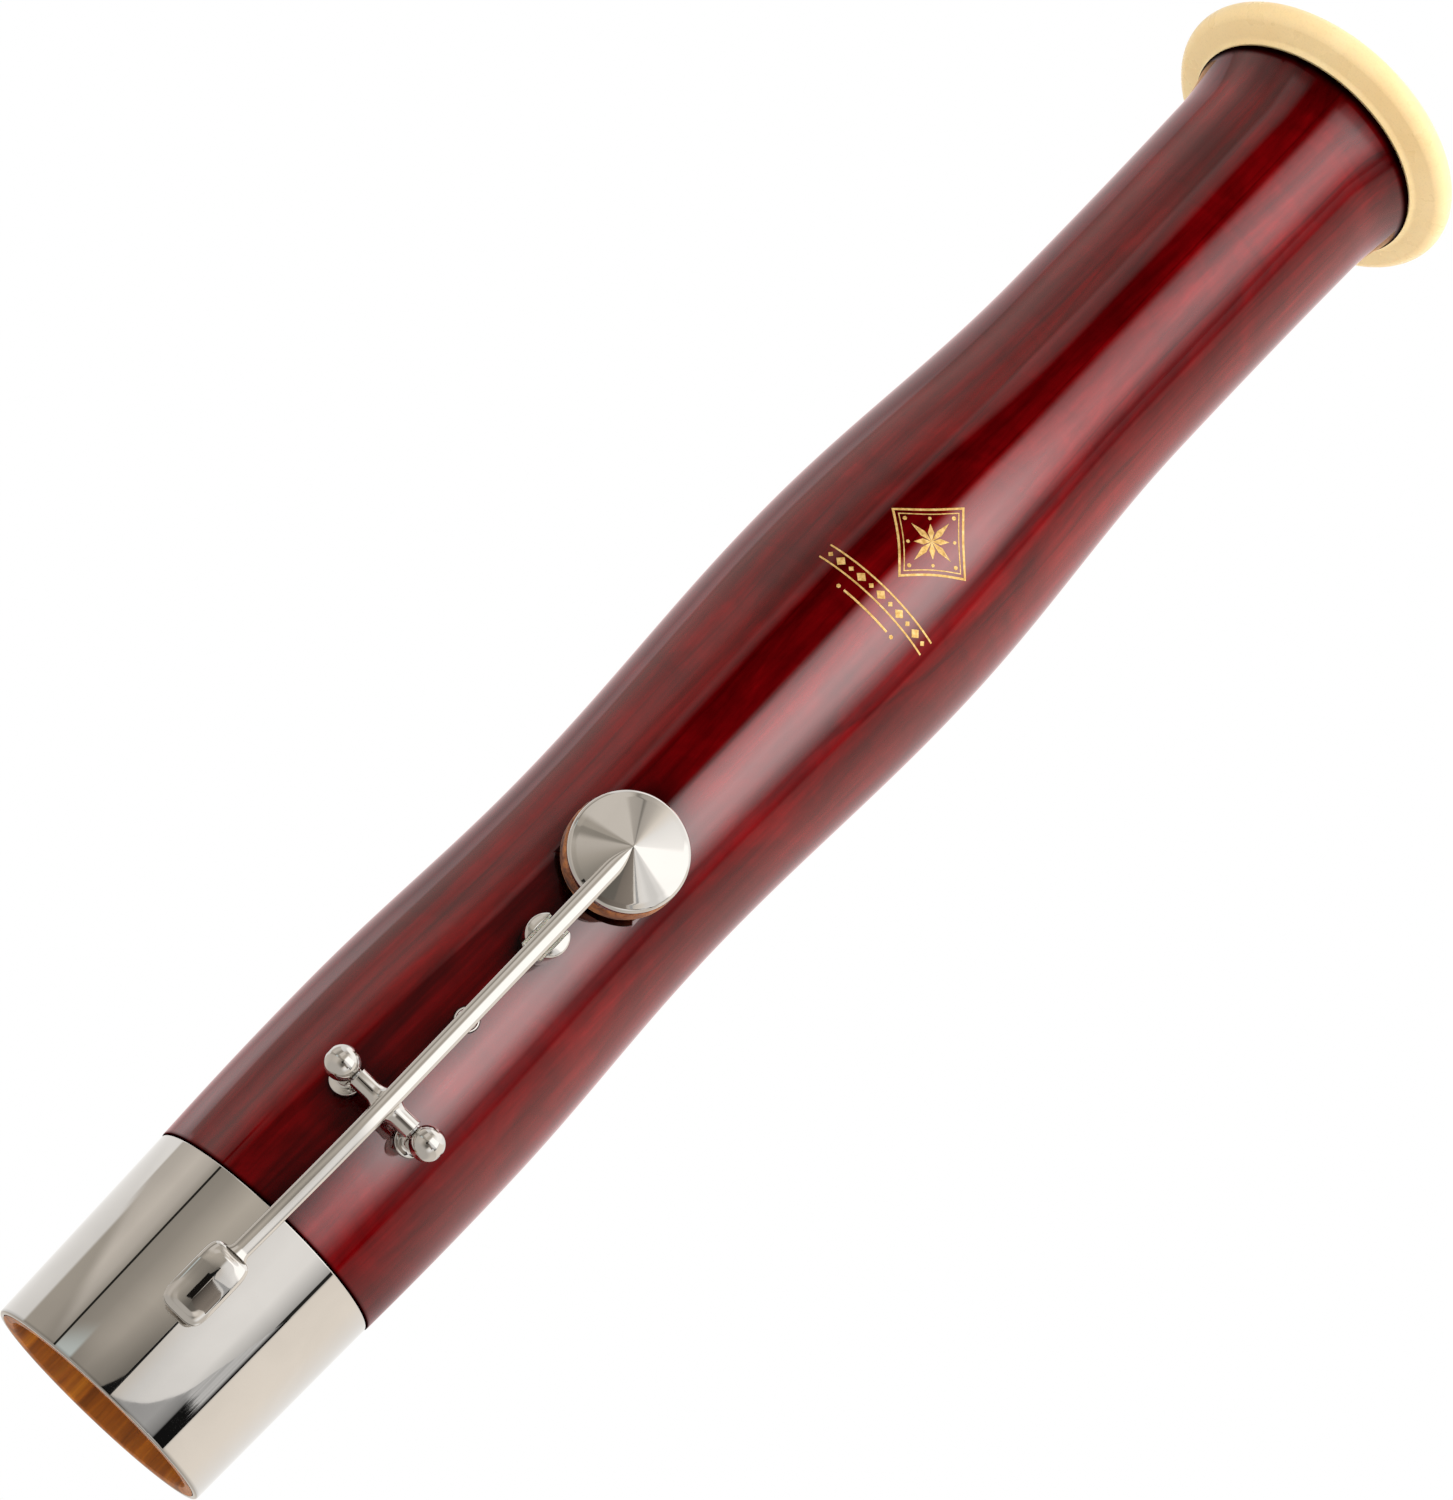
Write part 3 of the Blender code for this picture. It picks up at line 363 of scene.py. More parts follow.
def nickel_silver(name, grain=(700, 700, 40), rough=0.045, foot=0.0, even=0.0):
    """Polished plating with faint buffing lines.

    Below the foot height its colour is painted darker, a painted shade along its bottom edge. An even piece
    mirrors as if it were level along its length.
    """
    g = Surface(name)
    buff = g.noise(grain, detail=3, rough=0.6)
    smear = g.noise(90, detail=3, bend=0.7)
    wave = g.noise((160, 160, 60), detail=1)
    colour = g.times(PLATING, g.ramp(smear, [(0.30, 0.965), (0.70, 1.02)]))
    if foot:
        # Painted shade: the plating darkens towards its bottom edge.
        colour = g.times(colour, g.smooth(g.height(), foot * 0.35, foot, 0.70, 1.0))
    level = g.smooth(smear, 0.35, 0.70, rough * 0.75, rough * 1.7)
    level = g.product(level, g.smooth(buff, 0.3, 0.7, 0.85, 1.25))
    normal = g.bump(wave, 0.006)
    normal = g.bump(buff, 0.0006, normal)
    if even:
        normal = g.vector("MULTIPLY", normal, (1.0, 1.0, 1.0 - even))[0]
        normal = g.vector("NORMALIZE", normal)[0]
    return g.paint(colour, normal, level, Metallic=1.0)


def turned_steel():
    """Plain steel with fine lathe rings."""
    g = Surface("turned_steel")
    rings = g.noise((60, 60, 5200), detail=2)
    stain = g.noise(400, detail=3)
    colour = g.ramp(stain, [(0.3, (0.42, 0.42, 0.43)), (0.7, (0.60, 0.60, 0.60))])
    return g.paint(colour, g.bump(rings, 0.004), g.smooth(stain, 0.3, 0.7, 0.2, 0.34), Metallic=1.0)


def blued_steel():
    """Heat blued spring strip, browner in patches."""
    g = Surface("blued_steel")
    heat = g.noise((120, 60, 120), detail=2)
    line = g.noise((2600, 60, 2600), detail=2)
    blue, pale, brown = (0.030, 0.055, 0.16), (0.055, 0.075, 0.20), (0.14, 0.09, 0.12)
    colour = g.ramp(heat, [(0.3, blue), (0.55, pale), (0.75, brown)])
    return g.paint(colour, g.bump(line, 0.004), 0.26, Metallic=1.0)


def white_nylon():
    """Worn cream liner with faint rub lines."""
    g = Surface("white_nylon")
    rub = g.noise((300, 1800, 60), detail=3)
    colour = g.ramp(rub, [(0.3, (0.70, 0.66, 0.55)), (0.6, (0.86, 0.83, 0.73))])
    return g.paint(colour, g.bump(rub, 0.02), 0.45, Subsurface_Weight=0.1, Subsurface_Scale=0.6 * MM)


def tan_leather():
    """Tanned pad leather: pores, creases and darker handling."""
    g = Surface("tan_leather")
    cloud = g.noise(220, detail=4, bend=0.6)
    pores = g.node("ShaderNodeTexVoronoi", {"Vector": g.place(2300), "Scale": 1.0}).outputs[0]
    crease = g.noise((600, 600, 1500), detail=4, bend=1.2)
    dark, brown, tan = (0.055, 0.012, 0.003), (0.20, 0.055, 0.010), (0.42, 0.145, 0.030)
    colour = g.ramp(cloud, [(0.34, dark), (0.48, brown), (0.66, tan)])
    colour = g.times(colour, g.ramp(pores, [(0.0, 0.55), (0.45, 1.08)]))
    normal = g.bump(crease, 0.10)
    normal = g.bump(pores, 0.05, normal)
    return g.paint(colour, normal, 0.52, Sheen_Weight=0.08)


def cork():
    """Granular cork with dark pits."""
    g = Surface("cork")
    cells = g.node("ShaderNodeTexVoronoi", {"Vector": g.place(1500), "Scale": 1.0})
    patch = g.noise(500, detail=4)
    shade = g.node("ShaderNodeSeparateColor", {0: cells.outputs["Color"]}).outputs[0]
    colour = g.ramp(patch, [(0.3, (0.30, 0.16, 0.07)), (0.7, (0.66, 0.44, 0.24))])
    colour = g.mix(0.35, colour, shade, "OVERLAY")
    colour = g.times(colour, g.ramp(cells.outputs["Distance"], [(0.0, 1.0), (0.9, 0.6)]))
    return g.paint(colour, g.bump(cells.outputs["Distance"], 0.08), 0.9)


def fibrous(name, dark, light, fineness, depth):
    """Felt or card: short fibres seen as noise at two sizes."""
    g = Surface(name)
    fine = g.noise(fineness, detail=5, rough=0.7, bend=1.0)
    wide = g.noise(150, detail=3)
    colour = g.ramp(g.math("MULTIPLY_ADD", fine, 0.6, g.product(wide, 0.4)), [(0.3, dark), (0.7, light)])
    return g.paint(colour, g.bump(fine, depth), 0.95, Sheen_Weight=0.2)


def amber_shellac():
    """Melted shellac: glassy amber with flow lines."""
    g = Surface("amber_shellac")
    flow = g.noise(260, detail=3, bend=2.0)
    colour = g.ramp(flow, [(0.3, (0.12, 0.030, 0.004)), (0.7, (0.46, 0.18, 0.03))])
    return g.paint(colour, g.bump(flow, 0.15), 0.22, Coat_Weight=0.5)


def gold_foil():
    """Stamped gold with a slightly broken, grainy press."""
    g = Surface("gold_foil")
    grain = g.noise(1400, detail=3, rough=0.65)
    worn = g.noise(260, detail=2)
    dull, gold, pale = (0.55, 0.30, 0.075), (0.86, 0.56, 0.20), (0.98, 0.74, 0.36)
    colour = g.ramp(grain, [(0.28, dull), (0.55, gold), (0.75, pale)])
    return g.paint(colour, g.bump(grain, 0.012), g.smooth(worn, 0.3, 0.7, 0.30, 0.48), Metallic=0.75)


# ---- meshes
def lathe(outline, steps=BALL_STEPS):
    """Spins a closed outline of (radius, height) points about Z."""
    points, rows, faces = [], [], []
    for radius, height in outline:
        if radius < 1e-9:
            rows.append([len(points)] * steps)
            points.append((0.0, 0.0, height))
            continue
        rows.append(list(range(len(points), len(points) + steps)))
        for i in range(steps):
            turn = 2 * pi * i / steps
            points.append((radius * cos(turn), radius * sin(turn), height))
    for low, high in zip(rows, rows[1:] + rows[:1]):
        for i in range(steps):
            j = (i + 1) % steps
            corners = list(dict.fromkeys((low[i], low[j], high[j], high[i])))
            if len(corners) > 2:
                faces.append(corners)
    return points, faces


def loft(sections, ring=False):
    """Skins equal loops of points; both ends are closed unless the loft is a ring."""
    count = len(sections[0])
    points = [point for section in sections for point in section]
    faces = []
    last = len(sections) if ring else len(sections) - 1
    for s in range(last):
        low, high = s * count, ((s + 1) % len(sections)) * count
        for i in range(count):
            j = (i + 1) % count
            faces.append((low + i, low + j, high + j, high + i))
    if not ring:
        faces.append(tuple(range(count)))
        faces.append(tuple(range(len(points) - 1, len(points) - 1 - count, -1)))
    return points, faces


def slab(width, length, low, high):
    """A box centred on the Z axis."""
    x, y = width / 2, length / 2
    return loft([[(-x, -y, z), (x, -y, z), (x, y, z), (-x, y, z)] for z in (low, high)])


def drum(radius, low, high):
    """The outline of a plain cylinder."""
    return [(0, low), (radius, low), (radius, high), (0, high)]


def arc(centre, radius, start, end, steps=10):
    """Points of an arc in the outline plane, angles in degrees from +radius."""
    found = []
    for i in range(steps + 1):
        turn = radians(start + (end - start) * i / steps)
        found.append((centre[0] + radius * cos(turn), centre[1] + radius * sin(turn)))
    return found


def stations(start, end, count):
    return [start + (end - start) * i / count for i in range(count + 1)]


def ease(value, start, end):
    """Half a cosine wave, 0 at start and 1 at end."""
    share = min(max((value - start) / (end - start), 0.0), 1.0)
    return 0.5 - 0.5 * cos(pi * share)


def add(name, data):
    item = bpy.data.objects.new(name, data)
    bpy.context.scene.collection.objects.link(item)
    return item


def mesh_object(name, shape, matrix=None):
    """A mesh from a shape and a place in millimetres."""
    mesh = bpy.data.meshes.new(name)
    points, faces = shape
    mesh.from_pydata([[c * MM for c in point] for point in points], [], [list(face) for face in faces])
    bm = bmesh.new()
    bm.from_mesh(mesh)
    bmesh.ops.remove_doubles(bm, verts=bm.verts, dist=1e-8)
    bmesh.ops.recalc_face_normals(bm, faces=bm.faces)
    bm.to_mesh(mesh)
    bm.free()
    item = add(name, mesh)
    if matrix is not None:
        matrix = matrix.copy()
        matrix.translation *= MM
        item.matrix_world = matrix
    return item


def bake(item):
    """Applies an object's modifiers to its mesh."""
    bpy.context.view_layer.update()
    seen = item.evaluated_get(bpy.context.evaluated_depsgraph_get())
    mesh = bpy.data.meshes.new_from_object(seen)
    item.modifiers.clear()
    item.data = mesh


def carve(item, cutters):
    """Takes the cutters away from the item in one cut, then removes them."""
    holes = bpy.data.collections.new(item.name + "_holes")
    bpy.context.scene.collection.children.link(holes)
    for cutter in cutters:
        bpy.context.scene.collection.objects.unlink(cutter)
        holes.objects.link(cutter)
    modifier = item.modifiers.new("holes", "BOOLEAN")
    modifier.operation = "DIFFERENCE"
    modifier.solver = "EXACT"
    modifier.operand_type = "COLLECTION"
    modifier.collection = holes
    bake(item)
    for cutter in cutters:
        bpy.data.objects.remove(cutter)
    bpy.data.collections.remove(holes)


def bevel(item, width):
    modifier = item.modifiers.new("edge", "BEVEL")
    modifier.width = width * MM
    modifier.segments = 3
    modifier.limit_method = "ANGLE"
    modifier.angle_limit = radians(50)
    bake(item)


def shade(item, material, sharp=34):
    """Moves a piece's place into its mesh, smooths it up to sharp degrees, and gives it a material."""
    item.data.transform(item.matrix_world)
    item.matrix_world = Matrix.Identity(4)
    item.data.shade_smooth()
    item.data.set_sharp_from_angle(angle=radians(sharp))
    item.data.materials.clear()
    item.data.materials.append(material)


def dress(item, material, body, node, sharp=34):
    """Finishes a piece and puts it on its CAD body in place of a CAD node."""
    shade(item, material, sharp)
    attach(item, body)
    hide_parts(node)


def radial(height, reach, angle=0.0, sideways=0.0):
    """Matrix that stands a piece's Z axis out of the bell's surface."""
    x = reach * sin(angle) + sideways * cos(angle)
    y = -reach * cos(angle) + sideways * sin(angle)
    return Matrix.Translation((x, y, height)) @ Euler((pi / 2, 0, angle)).to_matrix().to_4x4()


ALONG_X = Matrix.Translation(HINGE) @ Matrix.Rotation(pi / 2, 4, "Y")


# ---- bell
def ferrule_radius(z):
    return FERRULE_FOOT_RADIUS + (FERRULE_TOP_RADIUS - FERRULE_FOOT_RADIUS) * z / FERRULE_TOP


def bell_radius(z):
    """The turned wood from the ferrule's top edge to the lip under the ring."""
    if z < SWELL_Z:
        share = (SWELL_Z - z) / (SWELL_Z - FERRULE_TOP)
        return SWELL_RADIUS - (SWELL_RADIUS - WOOD_FOOT_RADIUS) * share**2
    spans = (
        (SWELL_Z, SWELL_RADIUS, WAIST_Z, WAIST_RADIUS),
        (WAIST_Z, WAIST_RADIUS, BELLY_Z, BELLY_RADIUS),
        (BELLY_Z, BELLY_RADIUS, THROAT_Z, THROAT_RADIUS),
    )
    for low, low_radius, high, high_radius in spans:
        if z < high:
            return low_radius + (high_radius - low_radius) * ease(z, low, high)
    if z < NECK_Z:
        return THROAT_RADIUS + (NECK_RADIUS - THROAT_RADIUS) * ((z - THROAT_Z) / (NECK_Z - THROAT_Z)) ** 2
    return NECK_RADIUS + (LIP_RADIUS - NECK_RADIUS) * ((z - NECK_Z) / (LIP_Z - NECK_Z)) ** 2.2


def make_wood(lacquer, bare):
    shoulder = FERRULE_TOP + 0.08
    outline = [(SOCKET_RADIUS + 0.5, 0.0)]
    outline += [(ferrule_radius(z) - FERRULE_WALL - 0.05, z) for z in (0.0, shoulder)]
    outline += [(bell_radius(shoulder) - 0.25, shoulder)]
    outline += arc((bell_radius(shoulder) - 0.25, shoulder + 0.25), 0.25, -60, 0, 4)
    outline += [(bell_radius(z), z) for z in stations(shoulder + 0.6, LIP_Z - 0.6, 190)]
    outline += arc((bell_radius(LIP_Z) - 0.30, LIP_Z - 0.45), 0.25, 0, 80, 5)
    outline += [(bell_radius(LIP_Z) - 0.75, LIP_Z - 0.20), (bell_radius(LIP_Z) - 0.80, LIP_Z)]
    outline += [(TENON_RADIUS, LIP_Z), (TENON_RADIUS, TENON_TOP - 0.4), (TENON_RADIUS - 0.4, TENON_TOP)]
    outline += [(BORE_MOUTH_RADIUS + 0.3, TENON_TOP), (BORE_MOUTH_RADIUS, TENON_TOP - 0.3)]
    outline += [
        (BORE_MOUTH_RADIUS + (BORE_FOOT_RADIUS - BORE_MOUTH_RADIUS) * share, z)
        for share, z in zip(stations(0.02, 1, 24), stations(TENON_TOP - 5, SOCKET_DEPTH, 24))
    ]
    outline += [(SOCKET_RADIUS, SOCKET_DEPTH), (SOCKET_RADIUS, 0.7), (SOCKET_RADIUS + 0.15, 0.2)]
    wood = mesh_object("bell_wood", lathe(outline, BELL_STEPS))

    seat = [(0, 12), (TONE_HOLE_RADIUS, 12), (TONE_HOLE_RADIUS, SEAT_HEIGHT - 0.35)]
    seat += arc((TONE_HOLE_RADIUS + 0.35, SEAT_HEIGHT - 0.35), 0.35, 180, 90, 5)
    seat += [(SEAT_RADIUS - 0.2, SEAT_HEIGHT), (SEAT_RADIUS, SEAT_HEIGHT + 0.2), (SEAT_RADIUS, 30), (0, 30)]
    cutters = [mesh_object("cut_seat", lathe(seat, SEAT_STEPS), radial(HINGE.z + CUP_Y, 0.0))]
    well = drum(PLATE_RADIUS + 0.12, -4, 3)
    plate_spot = radial(PLATE_Z, bell_radius(PLATE_Z), 0.0, ARM_OFFSET)
    cutters.append(mesh_object("cut_plate", lathe(well, PIN_STEPS), plate_spot))
    carve(wood, cutters)
    dress(wood, lacquer, "bell", "bell_body", 30)
    wood.data.materials.append(bare)
    for face in wood.data.polygons:
        x, y, z = face.center / MM
        inner = hypot(x, y) < (SOCKET_RADIUS + 0.4 if z < SOCKET_DEPTH + 1 else SEAT_INNER)
        face.material_index = int(inner or z < 0.1)


def make_ferrule(metal):
    lip, foot, top = 0.32, FERRULE_FOOT_RADIUS, FERRULE_TOP
    crown = ferrule_radius(top)
    outline = [(foot - FERRULE_WALL, 0.12), (foot - FERRULE_WALL + 0.12, 0.0)]
    foot = ferrule_radius(lip)
    outline += arc((foot - lip, lip), lip, -90, -4, 8)
    outline += [(ferrule_radius(lip + rise), lip + rise) for rise in (0.02, 0.06, 0.15, 0.4)]
    outline += [(ferrule_radius(z), z) for z in stations(lip + 0.8, top - 0.8, 30)]
    outline += [(ferrule_radius(top - rest), top - rest) for rest in (0.5, 0.36, 0.31)]
    outline += arc((crown - 0.30, top - 0.30), 0.30, 0, 90, 8)
    outline += [(crown - FERRULE_WALL, top)]
    ferrule = mesh_object("ferrule_sleeve", lathe(outline, BELL_STEPS))
    dress(ferrule, metal, "bell", "socket_ferrule")


def make_ring(resin):
    """Bullnosed ring with a small turned step on its mouth face."""
    under, tenon = LIP_Z + 0.10, TENON_RADIUS + 0.1
    centre = (RING_RADIUS - RING_ROUND, RING_TOP - RING_ROUND - 0.5)
    outline = [(tenon, under), (LIP_RADIUS - 0.1, under)]
    outline += arc((LIP_RADIUS + 1.3, under - 0.75), 1.5, 150, 90, 6)[1:]
    outline += arc(centre, RING_ROUND, -90, 90, 28)
    outline += [(RING_RADIUS - 3.6, RING_TOP - 0.42), (RING_RADIUS - 4.4, RING_TOP - 0.20)]
    outline += [(RING_RADIUS - 5.3, RING_TOP)]
    outline += arc((RING_INNER + 0.9, RING_TOP - 0.9), 0.9, 90, 180, 10)
    outline += [(RING_INNER, TENON_TOP + 0.05), (tenon, TENON_TOP + 0.05)]
    ring = mesh_object("bell_mouth_ring", lathe(outline, BELL_STEPS))
    dress(ring, resin, "bell", "bell_ring")


# ---- hinge, guide, plate
def make_posts(metal):
    height = POST_REACH - bell_radius(HINGE.z)
    neck, flange = 1.25, 2.85
    meet = degrees(acos(neck / BALL_RADIUS))
    outline = [(0, -5), (1.5, -5), (1.5, -0.6), (flange - 0.1, -0.6)]
    outline += [(flange, -0.45), (flange, 0.30)]
    outline += arc((flange - 0.30, 0.30), 0.30, 10, 75, 6)
    outline += [(flange * 0.78, 0.68), (flange * 0.66, 0.74), (flange * 0.58, 0.84)]
    outline += [(flange * 0.51, 1.05), (flange * 0.465, 1.45), (neck, 2.1)]
    outline += arc((0, height), BALL_RADIUS, -meet, 88, 30)
    outline += [(0, height + BALL_RADIUS)]
    for side, name in ((-1, "hinge_post_left"), (1, "hinge_post_right")):
        matrix = radial(HINGE.z, bell_radius(HINGE.z), side * POST_ANGLE)
        matrix = Matrix.Translation((HINGE.x, 0, 0)) @ matrix
        post = mesh_object(name + "_ball", lathe(outline), matrix)
        cutters = [mesh_object("cut_rod", lathe(drum(ROD_HOLE, -20, 20), ROD_STEPS), ALONG_X)]
        if side > 0:
            reach = BALL_X + 2.0
            sink = [(0, reach), (1.22, reach), (1.22, reach + 0.6), (1.5, reach + 1.1)]
            sink += [(1.5, reach + 3), (0, reach + 3)]
            cutters.append(mesh_object("cut_head", lathe(sink, ROD_STEPS), ALONG_X))
        carve(post, cutters)
        dress(post, metal, "bell", name, 38)


def make_rod(steel):
    start, head, end = -BALL_X - 2.75, BALL_X + 2.15, BALL_X + 2.82
    outline = [(0, start)]
    outline += arc((ROD_RADIUS - 0.2, start + 0.2), 0.2, -90, 0, 5)
    outline += [(ROD_RADIUS, head), (ROD_HEAD_RADIUS, head)]
    outline += arc((ROD_HEAD_RADIUS - 0.25, end - 0.25), 0.25, 0, 90, 5)
    outline += [(0, end)]
    rod = mesh_object("hinge_rod_screw", lathe(outline, ROD_STEPS), ALONG_X)
    slot = mesh_object("cut_slot", slab(0.4, 4, end - 0.45, end + 0.45), ALONG_X)
    carve(rod, [slot])
    dress(rod, steel, "bell", "hinge_rod")


def make_guide(metal, liner_material):
    reach = bell_radius(GUIDE_Z)
    matrix = radial(GUIDE_Z, reach, 0.0, GUIDE_X)
    top, floor = GUIDE_TOP - reach, GUIDE_FLOOR - reach
    waist, curl = GUIDE_RADIUS - 0.25, 0.55
    outline = [(0, -4.5), (1.6, -4.5), (1.6, -0.7), (waist, -0.7)]
    outline += [(waist, 2.4), (waist + 0.10, 3.4), (GUIDE_RADIUS - 0.04, 4.4)]
    outline += arc((GUIDE_RADIUS - curl, top - curl - 0.35), curl, 0, 72, 10)
    outline += [(GUIDE_RADIUS * 0.68, top - 0.12), (GUIDE_RADIUS * 0.45, top - 0.04), (0, top)]
    guide = mesh_object("key_guide_post", lathe(outline), matrix)
    slot = mesh_object("cut_slot", slab(2 * GUIDE_SLOT_HALF, 12, floor, floor + 10), matrix)
    carve(guide, [slot])
    bevel(guide, 0.10)
    dress(guide, metal, "bell", "key_guide", 38)

    low, high = floor + 0.05, LINER_TOP - reach
    outer, inner = GUIDE_SLOT_HALF - 0.05, LINER_INNER_HALF
    sole = low + outer - inner
    shape = [(-outer, low), (outer, low), (outer, high), (inner, high)]
    shape += [(inner, sole), (-inner, sole), (-inner, high), (-outer, high)]
    ends = [[(x, y, z) for x, z in shape] for y in stations(-2.95, 2.95, 6)]
    liner = mesh_object("guide_slot_liner", loft(ends), matrix)
    bevel(liner, 0.09)
    dress(liner, liner_material, "bell", "guide_liner")


def make_spring_plate(metal):
    matrix = radial(PLATE_Z, bell_radius(PLATE_Z), 0.0, ARM_OFFSET)
    wide, pin = PLATE_RADIUS, 0.7
    outline = [(0, -3.4), (pin * 0.4, -3.4), (pin, -2.8), (pin, -0.9), (wide, -0.9)]
    outline += arc((wide - 0.15, 0.05), 0.15, 0, 90, 5)
    outline += [(wide - 0.55, 0.19), (wide - 0.75, 0.05), (wide - 0.95, 0.0), (0, -0.03)]
    plate = mesh_object("spring_plate_pin", lathe(outline, PIN_STEPS), matrix)
    dress(plate, metal, "bell", "spring_plate")


# ---- key
def on_key(x, y):
    """A place on the key: x across, y up the bell from the hinge."""
    return KEY_MATRIX @ Matrix.Translation((x, y, 0))


def arm_top(y):
    if y > 0:
        return ARM_TOP - ARM_SLOPE * y
    return ARM_TOP - (ARM_TOP - TOUCH_TOP + 0.35) * ease(-y, 2, -ARM_NECK_Y)


def cup_height(distance):
    if distance < CONE_RADIUS:
        return CUP_APEX - CONE_HEIGHT * distance / CONE_RADIUS
    rounding = CUP_RADIUS - CONE_RADIUS
    share = min((distance - CONE_RADIUS) / rounding, 1.0)
    return CUP_SHOULDER - rounding * (1 - sqrt(1 - share**2))


def arm_centre(y):
    return ARM_OFFSET + ARM_SKEW * max(y / ARM_NECK_Y, 0.0) ** 1.5


def arm_section(y):
    """Half round strap; over the cup it narrows to a point that rides on the cone."""
    share = min(max((CUP_Y - 0.3 - y) / ARM_POINT, 0.0), 1.0)
    half = ARM_WIDTH / 2 * max(sin(share * pi / 2) ** 0.9, 0.03)
    collar = max(0.0, 1.0 - (y - ARM_NECK_Y) / 0.9)
    half *= 1.0 + 0.20 * collar**2
    top = arm_top(y) + 0.25 * collar**2
    bottom = top - ARM_DEPTH
    distance = CUP_Y - y
    if distance < CUP_RADIUS + 0.3:
        rest = cup_height(max(distance, 0.0)) - 0.05
        bottom = max(bottom, rest)
        top = max(top, rest + 0.45)
    crown = min(0.62 * half, 0.7 * (top - bottom))
    edge = min(0.18, 0.25 * half, 0.3 * (top - bottom))
    x = arm_centre(y)
    section = [(x - half + edge, y, bottom), (x + half - edge, y, bottom), (x + half, y, bottom + edge)]
    for i in range(25):
        turn = pi * i / 24
        section.append((x + half * cos(turn), y, top - crown + crown * sin(turn)))
    section.append((x - half, y, bottom + edge))
    return section


def make_arm(metal):
    inner = CUP_Y - CUP_RADIUS
    spots = stations(ARM_NECK_Y - 0.35, ARM_NECK_Y + 1.2, 8) + stations(ARM_NECK_Y + 1.8, -0.5, 40)
    spots += stations(0.5, inner - 0.6, 40) + stations(inner - 0.2, CUP_Y - 5.8, 12)
    spots += stations(CUP_Y - 5.5, CUP_Y - 0.32, 26)
    arm = mesh_object("key_lever_arm", loft([arm_section(y) for y in spots]), KEY_MATRIX)
    dress(arm, metal, "key", "key_arm", 50)


def make_tube(metal):
    """Hinge tube with silver soldered shoulders where the arm crosses it."""
    half, edge = BALL_X - BALL_RADIUS - 0.10, 0.22
    arm = ARM_WIDTH / 2 - 0.1
    offset = ARM_OFFSET - HINGE.x
    outline = [(TUBE_BORE, -half)] + arc((TUBE_RADIUS - edge, -half + edge), edge, 270, 360, 6)
    shoulder = [(1.9, 0.0), (1.2, 0.03), (0.8, 0.09), (0.5, 0.18), (0.25, 0.32), (0.0, 0.52)]
    outline += [(TUBE_RADIUS + rise, offset - arm - reach) for reach, rise in shoulder]
    outline += [(TUBE_RADIUS + rise, offset + arm + reach) for reach, rise in reversed(shoulder)]
    outline += arc((TUBE_RADIUS - edge, half - edge), edge, 0, 90, 6) + [(TUBE_BORE, half)]
    turn = Matrix.Translation((HINGE.x, 0, 0)) @ Matrix.Rotation(pi / 2, 4, "Y")
    tube = mesh_object("key_hinge_tube", lathe(outline), KEY_MATRIX @ turn)
    dress(tube, metal, "key", "hinge_tube")


def make_cup(metal):
    inner = CUP_RADIUS - CUP_WALL
    rounding = CUP_RADIUS - CONE_RADIUS
    outline = [(inner, CUP_RIM + 0.1), (inner + 0.15, CUP_RIM)]
    outline += arc((CUP_RADIUS - 0.25, CUP_RIM + 0.25), 0.25, -90, 0, 6)
    outline += arc((CONE_RADIUS, CUP_SHOULDER - rounding), rounding, 0, 72, 14)
    outline += [(r, cup_height(r)) for r in stations(CONE_RADIUS - 0.25, 0.5, 24)]
    outline += [(0.25, cup_height(0.32)), (0, cup_height(0.22))]
    outline += [(0, CUP_APEX - CUP_WALL), (inner, CUP_SHOULDER - 0.65)]
    cup = mesh_object("pad_cup_shell", lathe(outline, CUP_STEPS), on_key(0, CUP_Y))
    dress(cup, metal, "key", "pad_cup", 50)


def make_pad(leather):
    """Leather skin, rounded at its edge, gathered under the cup and marked by its seat."""
    back, shelf = CUP_SHOULDER - 0.95, CUP_RIM - 0.12
    wide, neck, skin = PAD_RADIUS, 9.5, 0.5
    inner = wide - skin
    outline = [(0, PAD_FACE)] + [(r, PAD_FACE) for r in stations(0.8, wide - 1.2, 40)]
    outline += arc((wide - 1.0, PAD_FACE + 1.0), 1.0, -85, 0, 12)
    outline += [(wide, z) for z in stations(PAD_FACE + 1.3, shelf - 1.1, 8)]
    outline += arc((wide - 0.9, shelf - 0.9), 0.9, 5, 80, 8)
    outline += [(neck, shelf + 0.02), (neck, back), (6, back), (6, back - skin)]
    outline += [(neck - skin, back - skin), (neck - skin, shelf - 0.5), (wide - 1.3, shelf - 0.7)]
    outline += [(inner, shelf - 1.2), (inner, PAD_FACE + 1.0), (inner - 0.7, PAD_FACE + skin)]
    outline += [(0, PAD_FACE + skin)]
    points, faces = lathe(outline, CUP_STEPS)
    shaped = []
    for x, y, z in points:
        radius, turn = hypot(x, y), atan2(y, x)
        shell = radius > wide - 1.4 and z < shelf + 0.1
        if z < PAD_FACE + 0.3:
            dent = exp(-(((radius - TONE_HOLE_RADIUS - 0.5) / 0.55) ** 2))
            z += 0.16 * dent + 0.03 * noise.noise(Vector((x, y, z)) * 0.9)
        if shell:
            high = ease(z, PAD_FACE + 1.2, shelf)
            pleat = sin(turn * 46 + 2.2 * sin(turn * 5)) * 0.055 * high
            swell = 0.10 * sin(pi * min(max((z - PAD_FACE) / (shelf - PAD_FACE), 0.0), 1.0))
            sag = 0.05 * noise.noise(Vector((x, y, z)) * 0.42)
            grow = (pleat + swell * 0.5 + sag - 0.05) / max(radius, 1.0)
            x, y = x * (1 + grow), y * (1 + grow)
        shaped.append((x, y, z))
    pad = mesh_object("pad_leather_skin", (shaped, faces), on_key(-0.10, CUP_Y - 0.05))
    dress(pad, leather, "key", "pad_skin", 60)


